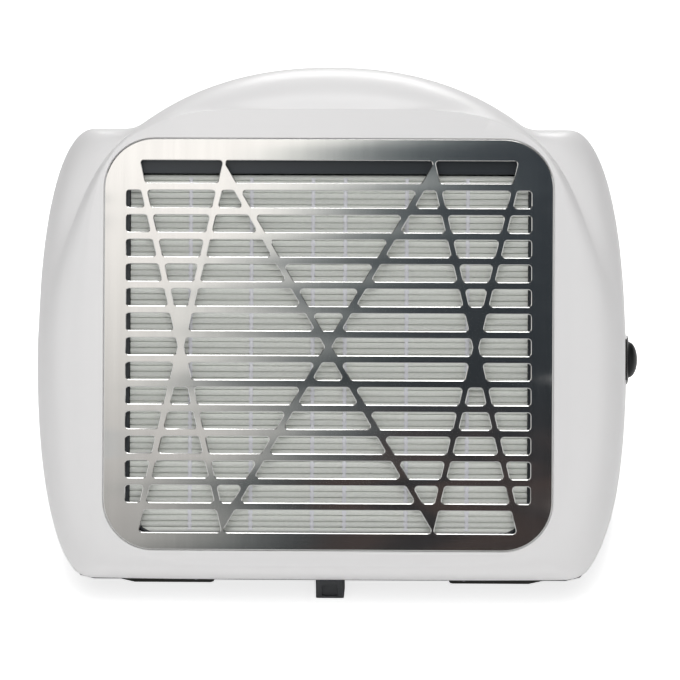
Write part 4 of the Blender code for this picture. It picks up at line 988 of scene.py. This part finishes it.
class COLLECTOR_OT_button(bpy.types.Operator):
    """Push button: domed cap in a flat bezel on the right-hand wall"""

    bl_idname = "collector.button"
    bl_label = "Push button"

    def execute(self, context):
        c = context.scene.control_sizes
        s = context.scene.housing_sizes
        side = Matrix.Translation(FACE @ Vector((PLATE_HALF + s.cheek, -s.waist_drop, -c.button_depth)))
        to_right = side @ Matrix.Rotation(math.pi / 2, 4, "Y")
        bore = c.cap_radius + GAP
        barrel = bore + c.barrel_wall
        profile = [
            (bore, c.collar_rise - 0.0001),
            (bore + 0.0001, c.collar_rise),
            (bore + 0.0006, c.collar_rise),
            (c.flange_radius - 0.0002, GAP + c.flange_edge + 0.0001),
            (c.flange_radius, GAP + c.flange_edge),
            (c.flange_radius, GAP),
            (barrel, GAP),
            (barrel, -c.barrel_depth),
            (bore, -c.barrel_depth),
            (bore, c.collar_rise - 0.0001),
        ]
        bezel = turned("button_collar", profile, 64)
        place(bezel, to_right, finishes(context)["black"], "housing", "black", ["button_bezel"])
        turns = [math.pi / 2 * (1 - step / 12) for step in range(13)]
        dome = [
            (c.cap_radius * math.cos(a), c.collar_rise + (c.cap_rise - c.collar_rise) * math.sin(a)) for a in turns
        ]
        dome[0] = (0, c.cap_rise)
        cap = turned(
            "button_cap",
            dome
            + [
                (c.cap_radius, -c.cap_sink),
                (c.stem_radius, -c.cap_sink),
                (c.stem_radius, -c.cap_sink - c.stem_depth),
                (0, -c.cap_sink - c.stem_depth),
            ],
            64,
        )
        place(cap, to_right, finishes(context)["black"], "button", "black", ["power_button"])
        return {"FINISHED"}


class COLLECTOR_OT_feet(bpy.types.Operator):
    """Feet: four rubber soles and the moulded centre foot with its sunk panel"""

    bl_idname = "collector.feet"
    bl_label = "Feet"

    def execute(self, context):
        for row in ("front", "rear"):
            for hand in ("left", "right"):
                node = f"foot_sole_{row}_{hand}"
                low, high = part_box(node)
                middle = (low + high) / 2
                half, depth = (high.x - low.x) / 2, (high.y - low.y) / 2
                corners = [
                    (-half, -depth),
                    (half - SOLE_TAPER, -depth),
                    (half, SOLE_TAPER / 2 - depth),
                    (half, depth - SOLE_TAPER / 2),
                    (half - SOLE_TAPER, depth),
                    (-half, depth),
                ]
                outline = rounded(corners, SOLE_CORNER, 5)
                sole = flat_piece(f"rubber_sole_{row}_{hand}", [outline], low.z, high.z, SOLE_EDGE)
                turn = Matrix.Diagonal((-1 if hand == "left" else 1, 1, 1, 1))
                matrix = Matrix.Translation((middle.x, middle.y, 0)) @ turn
                place(sole, matrix, finishes(context)["sole"], "housing", "sole", [node])
        low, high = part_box("centre_foot")
        middle = (low + high) / 2
        half, depth = (high.x - low.x) / 2, (high.y - low.y) / 2
        foot = flat_piece("chin_foot", [rectangle(half, -depth, depth, 0.0008, 4)], low.z, high.z, 0.0003)
        foot.data.transform(Matrix.Translation((middle.x, middle.y, 0)))
        deselect()
        spot = (middle.x, low.y, low.z + PANEL_RISE)
        bpy.ops.mesh.primitive_cube_add(size=1, location=spot, scale=PANEL_SIZE)
        bpy.ops.object.transform_apply(location=True, rotation=True, scale=True)
        panel = context.object
        ease_edges(panel, 0.0004, 3)
        cut(foot, panel)
        place(foot, Matrix(), finishes(context)["charcoal"], "housing", "charcoal", ["centre_foot"])
        return {"FINISHED"}


class COLLECTOR_OT_inner_pieces(bpy.types.Operator):
    """Inner and under pieces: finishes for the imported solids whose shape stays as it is"""

    bl_idname = "collector.inner_pieces"
    bl_label = "Inner pieces"

    def execute(self, context):
        slots = {entry["node"]: entry["material_slot"] for entry in frame["record"]["subparts"]}
        for name, node in frame["nodes"].items():
            if not node.hide_render:
                node.data.materials.clear()
                node.data.materials.append(finishes(context)[slots[name]])
        return {"FINISHED"}


class COLLECTOR_OT_stage(bpy.types.Operator):
    """Stage: pale floor, soft studio light and the camera"""

    bl_idname = "collector.stage"
    bl_label = "Stage"

    def light(self, name, place, aim, size, power, tint=(1, 1, 1)):
        data = bpy.data.lights.new(name, "AREA")
        data.shape = "RECTANGLE"
        data.size, data.size_y = size
        data.energy = power
        data.color = tint
        lamp = bpy.data.objects.new(name, data)
        lamp.location = place
        lamp.rotation_euler = (Vector(aim) - Vector(place)).to_track_quat("-Z", "Y").to_euler()
        bpy.context.scene.collection.objects.link(lamp)
        return lamp

    def execute(self, context):
        colours = context.scene.collector_colours
        deselect()
        bpy.ops.mesh.primitive_plane_add(size=12)
        floor = context.object
        floor.name = "studio_floor"
        paint = new_material("studio_floor_paint", colours.floor, 0.9, Specular_IOR_Level=0.0)
        tree = paint.node_tree
        # The camera sees the floor lit up to white, as a studio's lit sweep is
        seen = add_node(tree, "ShaderNodeLightPath")
        values = {"operation": "MULTIPLY_ADD", 1: FLOOR_GLOW_SEEN, 2: FLOOR_GLOW}
        glow = add_node(tree, "ShaderNodeMath", values, {0: seen.outputs["Is Camera Ray"]})
        shader = tree.nodes["Principled BSDF"]
        shader.inputs["Emission Color"].default_value = (1, 1, 1, 1)
        tree.links.new(glow.outputs["Value"], shader.inputs["Emission Strength"])
        floor.data.materials.append(paint)

        world = bpy.data.worlds.new("studio")
        context.scene.world = world
        world.use_nodes = True
        tree = world.node_tree
        background = tree.nodes["Background"]
        background.inputs["Color"].default_value = (1, 1, 1, 1)
        # Lighter in front of the part, dimmer behind it and at its sides
        ray = add_node(tree, "ShaderNodeTexCoord")
        split = add_node(tree, "ShaderNodeSeparateXYZ", (), {"Vector": ray.outputs["Generated"]})
        depth = map_range(tree, split.outputs["Y"], -1.0, 1.0, WORLD_FRONT, WORLD_BACK)
        sideways = add_node(tree, "ShaderNodeMath", {"operation": "ABSOLUTE"}, {0: split.outputs["X"]})
        off_middle = sideways.outputs["Value"]
        sides = map_range(tree, off_middle, 0.0, WORLD_SIDE_END, WORLD_MIDDLE, WORLD_SIDE)
        strength = calculate(tree, "MULTIPLY", depth, sides)
        tree.links.new(strength, background.inputs["Strength"])

        for name, (place, size, power) in LIGHTS.items():
            self.light(name, place, FACE_PLACE, size, power)
        self.reflection_card()
        self.side_cards()

        angles = (CAMERA_TURN, CAMERA_RISE, CAMERA_ROLL)
        azimuth, elevation, roll = (math.radians(angle) for angle in angles)
        camera_data = bpy.data.cameras.new("camera")
        camera = bpy.data.objects.new("camera", camera_data)
        context.scene.collection.objects.link(camera)
        camera_data.sensor_width = CAMERA_SENSOR
        camera_data.lens = CAMERA_SENSOR * CAMERA_DISTANCE / CAMERA_WIDTH
        camera_data.clip_start = 0.05
        aim = FACE @ Vector(CAMERA_AIM)
        back = Vector(
            (
                math.sin(azimuth) * math.cos(elevation),
                -math.cos(azimuth) * math.cos(elevation),
                math.sin(elevation),
            )
        )
        camera.location = aim + back * CAMERA_DISTANCE
        look = (-back).to_track_quat("-Z", "Y").to_matrix().to_4x4()
        camera.rotation_euler = (look @ Matrix.Rotation(roll, 4, "Z")).to_euler()
        context.scene.camera = camera
        context.scene.view_settings.view_transform = "Standard"
        return {"FINISHED"}

    def reflection_card(self):
        """A graded card that only the plate's reflections see: light at the upper left, dark at the right."""
        deselect()
        bpy.ops.mesh.primitive_plane_add(size=1)
        card = bpy.context.object
        card.name = "reflection_card"
        spread = Matrix.Diagonal((2.6 * PLATE_HALF, 2.6 * PLATE_RISE, 1, 1))
        card.data.transform(FACE @ Matrix.Translation((0, 0, CARD_OUT)) @ spread)
        glow, light = self.glow_material("card_glow")
        tree = glow.node_tree
        place = add_node(tree, "ShaderNodeTexCoord").outputs["Object"]
        # Distance across the slanting boundary between the light and the dark side, in metres
        across = FACE.to_3x3() @ Vector((1, CARD_SLOPE, 0))
        values = {"operation": "DOT_PRODUCT", 1: across}
        slant = add_node(tree, "ShaderNodeVectorMath", values, {0: place}).outputs["Value"]
        start = across.dot(FACE_PLACE) + CARD_START
        fall = map_range(tree, slant, start - 0.05, start + 0.10)
        level = add_node(tree, "ShaderNodeSeparateXYZ", (), {"Vector": place}).outputs["Z"]
        fade = map_range(tree, level, 0.09, 0.255, 0.63, 1.75)
        ramp = add_node(tree, "ShaderNodeValToRGB", (), {"Fac": fall})
        while len(ramp.color_ramp.elements) < len(CARD_STOPS):
            ramp.color_ramp.elements.new(0.5)
        for element, (position, tone) in zip(ramp.color_ramp.elements, CARD_STOPS):
            element.position = position
            element.color = (*hex_colour(tone), 1)
        # The low right corner sees a warm brown instead
        low_down = map_range(tree, level, 0.155, 0.115)
        rightwards = map_range(tree, fall, 0.5, 0.75)
        values = {"Scale": 30.0, "Detail": 1.0}
        patches = add_node(tree, "ShaderNodeTexNoise", values, {"Vector": place}).outputs["Fac"]
        patchy = map_range(tree, patches, 0.4, 0.6, 0.2)
        corner = calculate(tree, "MULTIPLY", low_down, rightwards)
        corner = calculate(tree, "MULTIPLY", corner, patchy)
        values = {"data_type": "RGBA", 7: (*hex_colour(CARD_BROWN), 1)}
        tinted = add_node(tree, "ShaderNodeMix", values, {0: corner, 6: ramp.outputs["Color"]})
        tree.links.new(tinted.outputs[2], light.inputs["Color"])
        tree.links.new(fade, light.inputs["Strength"])
        card.data.materials.append(glow)
        self.hide_card(card)

    def glow_material(self, name):
        """A material of one emission shader, and that shader."""
        glow = bpy.data.materials.new(name)
        glow.use_nodes = True
        tree = glow.node_tree
        tree.nodes.clear()
        end = add_node(tree, "ShaderNodeOutputMaterial")
        light = add_node(tree, "ShaderNodeEmission")
        tree.links.new(light.outputs["Emission"], end.inputs["Surface"])
        return glow, light

    def side_cards(self):
        """White cards on both sides, which light up the cut edges of the plate."""
        glow, light = self.glow_material("side_glow")
        light.inputs["Strength"].default_value = 1.1
        for hand, side in (("left", -1), ("right", 1)):
            deselect()
            bpy.ops.mesh.primitive_plane_add(size=0.5)
            card = bpy.context.object
            card.name = f"side_card_{hand}"
            card.data.transform(
                FACE @ Matrix.Translation((side * 0.6, 0, 0.3)) @ Matrix.Rotation(math.pi / 2, 4, "Y")
            )
            card.data.materials.append(glow)
            self.hide_card(card)

    def hide_card(self, card):
        """Leaves a card to reflections alone."""
        card.visible_camera = False
        card.visible_diffuse = False
        card.visible_shadow = False
        card.visible_transmission = False


class COLLECTOR_PT_panel(bpy.types.Panel):
    """Lists the collector's pieces in the sidebar"""

    bl_idname = "COLLECTOR_PT_panel"
    bl_label = "Nail dust collector"
    bl_space_type = "VIEW_3D"
    bl_region_type = "UI"
    bl_category = "Collector"

    def draw(self, context):
        for operator in PIECES:
            self.layout.operator(operator.bl_idname)
        for name in SIZES:
            box = self.layout.box()
            group = getattr(context.scene, name)
            for key in group.bl_rna.properties.keys():
                if key not in ("rna_type", "name"):
                    box.prop(group, key)


SIZES = {
    "housing_sizes": HousingSizes,
    "grille_sizes": GrilleSizes,
    "filter_sizes": FilterSizes,
    "control_sizes": ControlSizes,
    "collector_colours": CollectorColours,
}
PIECES = [
    COLLECTOR_OT_front_shell,
    COLLECTOR_OT_rear_shell,
    COLLECTOR_OT_grille,
    COLLECTOR_OT_filter,
    COLLECTOR_OT_button,
    COLLECTOR_OT_feet,
    COLLECTOR_OT_inner_pieces,
    COLLECTOR_OT_stage,
]


def register():
    for group in SIZES.values():
        bpy.utils.register_class(group)
    for operator in PIECES:
        bpy.utils.register_class(operator)
    bpy.utils.register_class(COLLECTOR_PT_panel)
    for name, group in SIZES.items():
        setattr(bpy.types.Scene, name, bpy.props.PointerProperty(type=group))


def unregister():
    for name in SIZES:
        delattr(bpy.types.Scene, name)
    bpy.utils.unregister_class(COLLECTOR_PT_panel)
    for operator in reversed(PIECES):
        bpy.utils.unregister_class(operator)
    for group in reversed(list(SIZES.values())):
        bpy.utils.unregister_class(group)


def main():
    register()
    for operator in PIECES:
        module, action = operator.bl_idname.split(".")
        getattr(getattr(bpy.ops, module), action)()


if __name__ == "__main__":
    main()
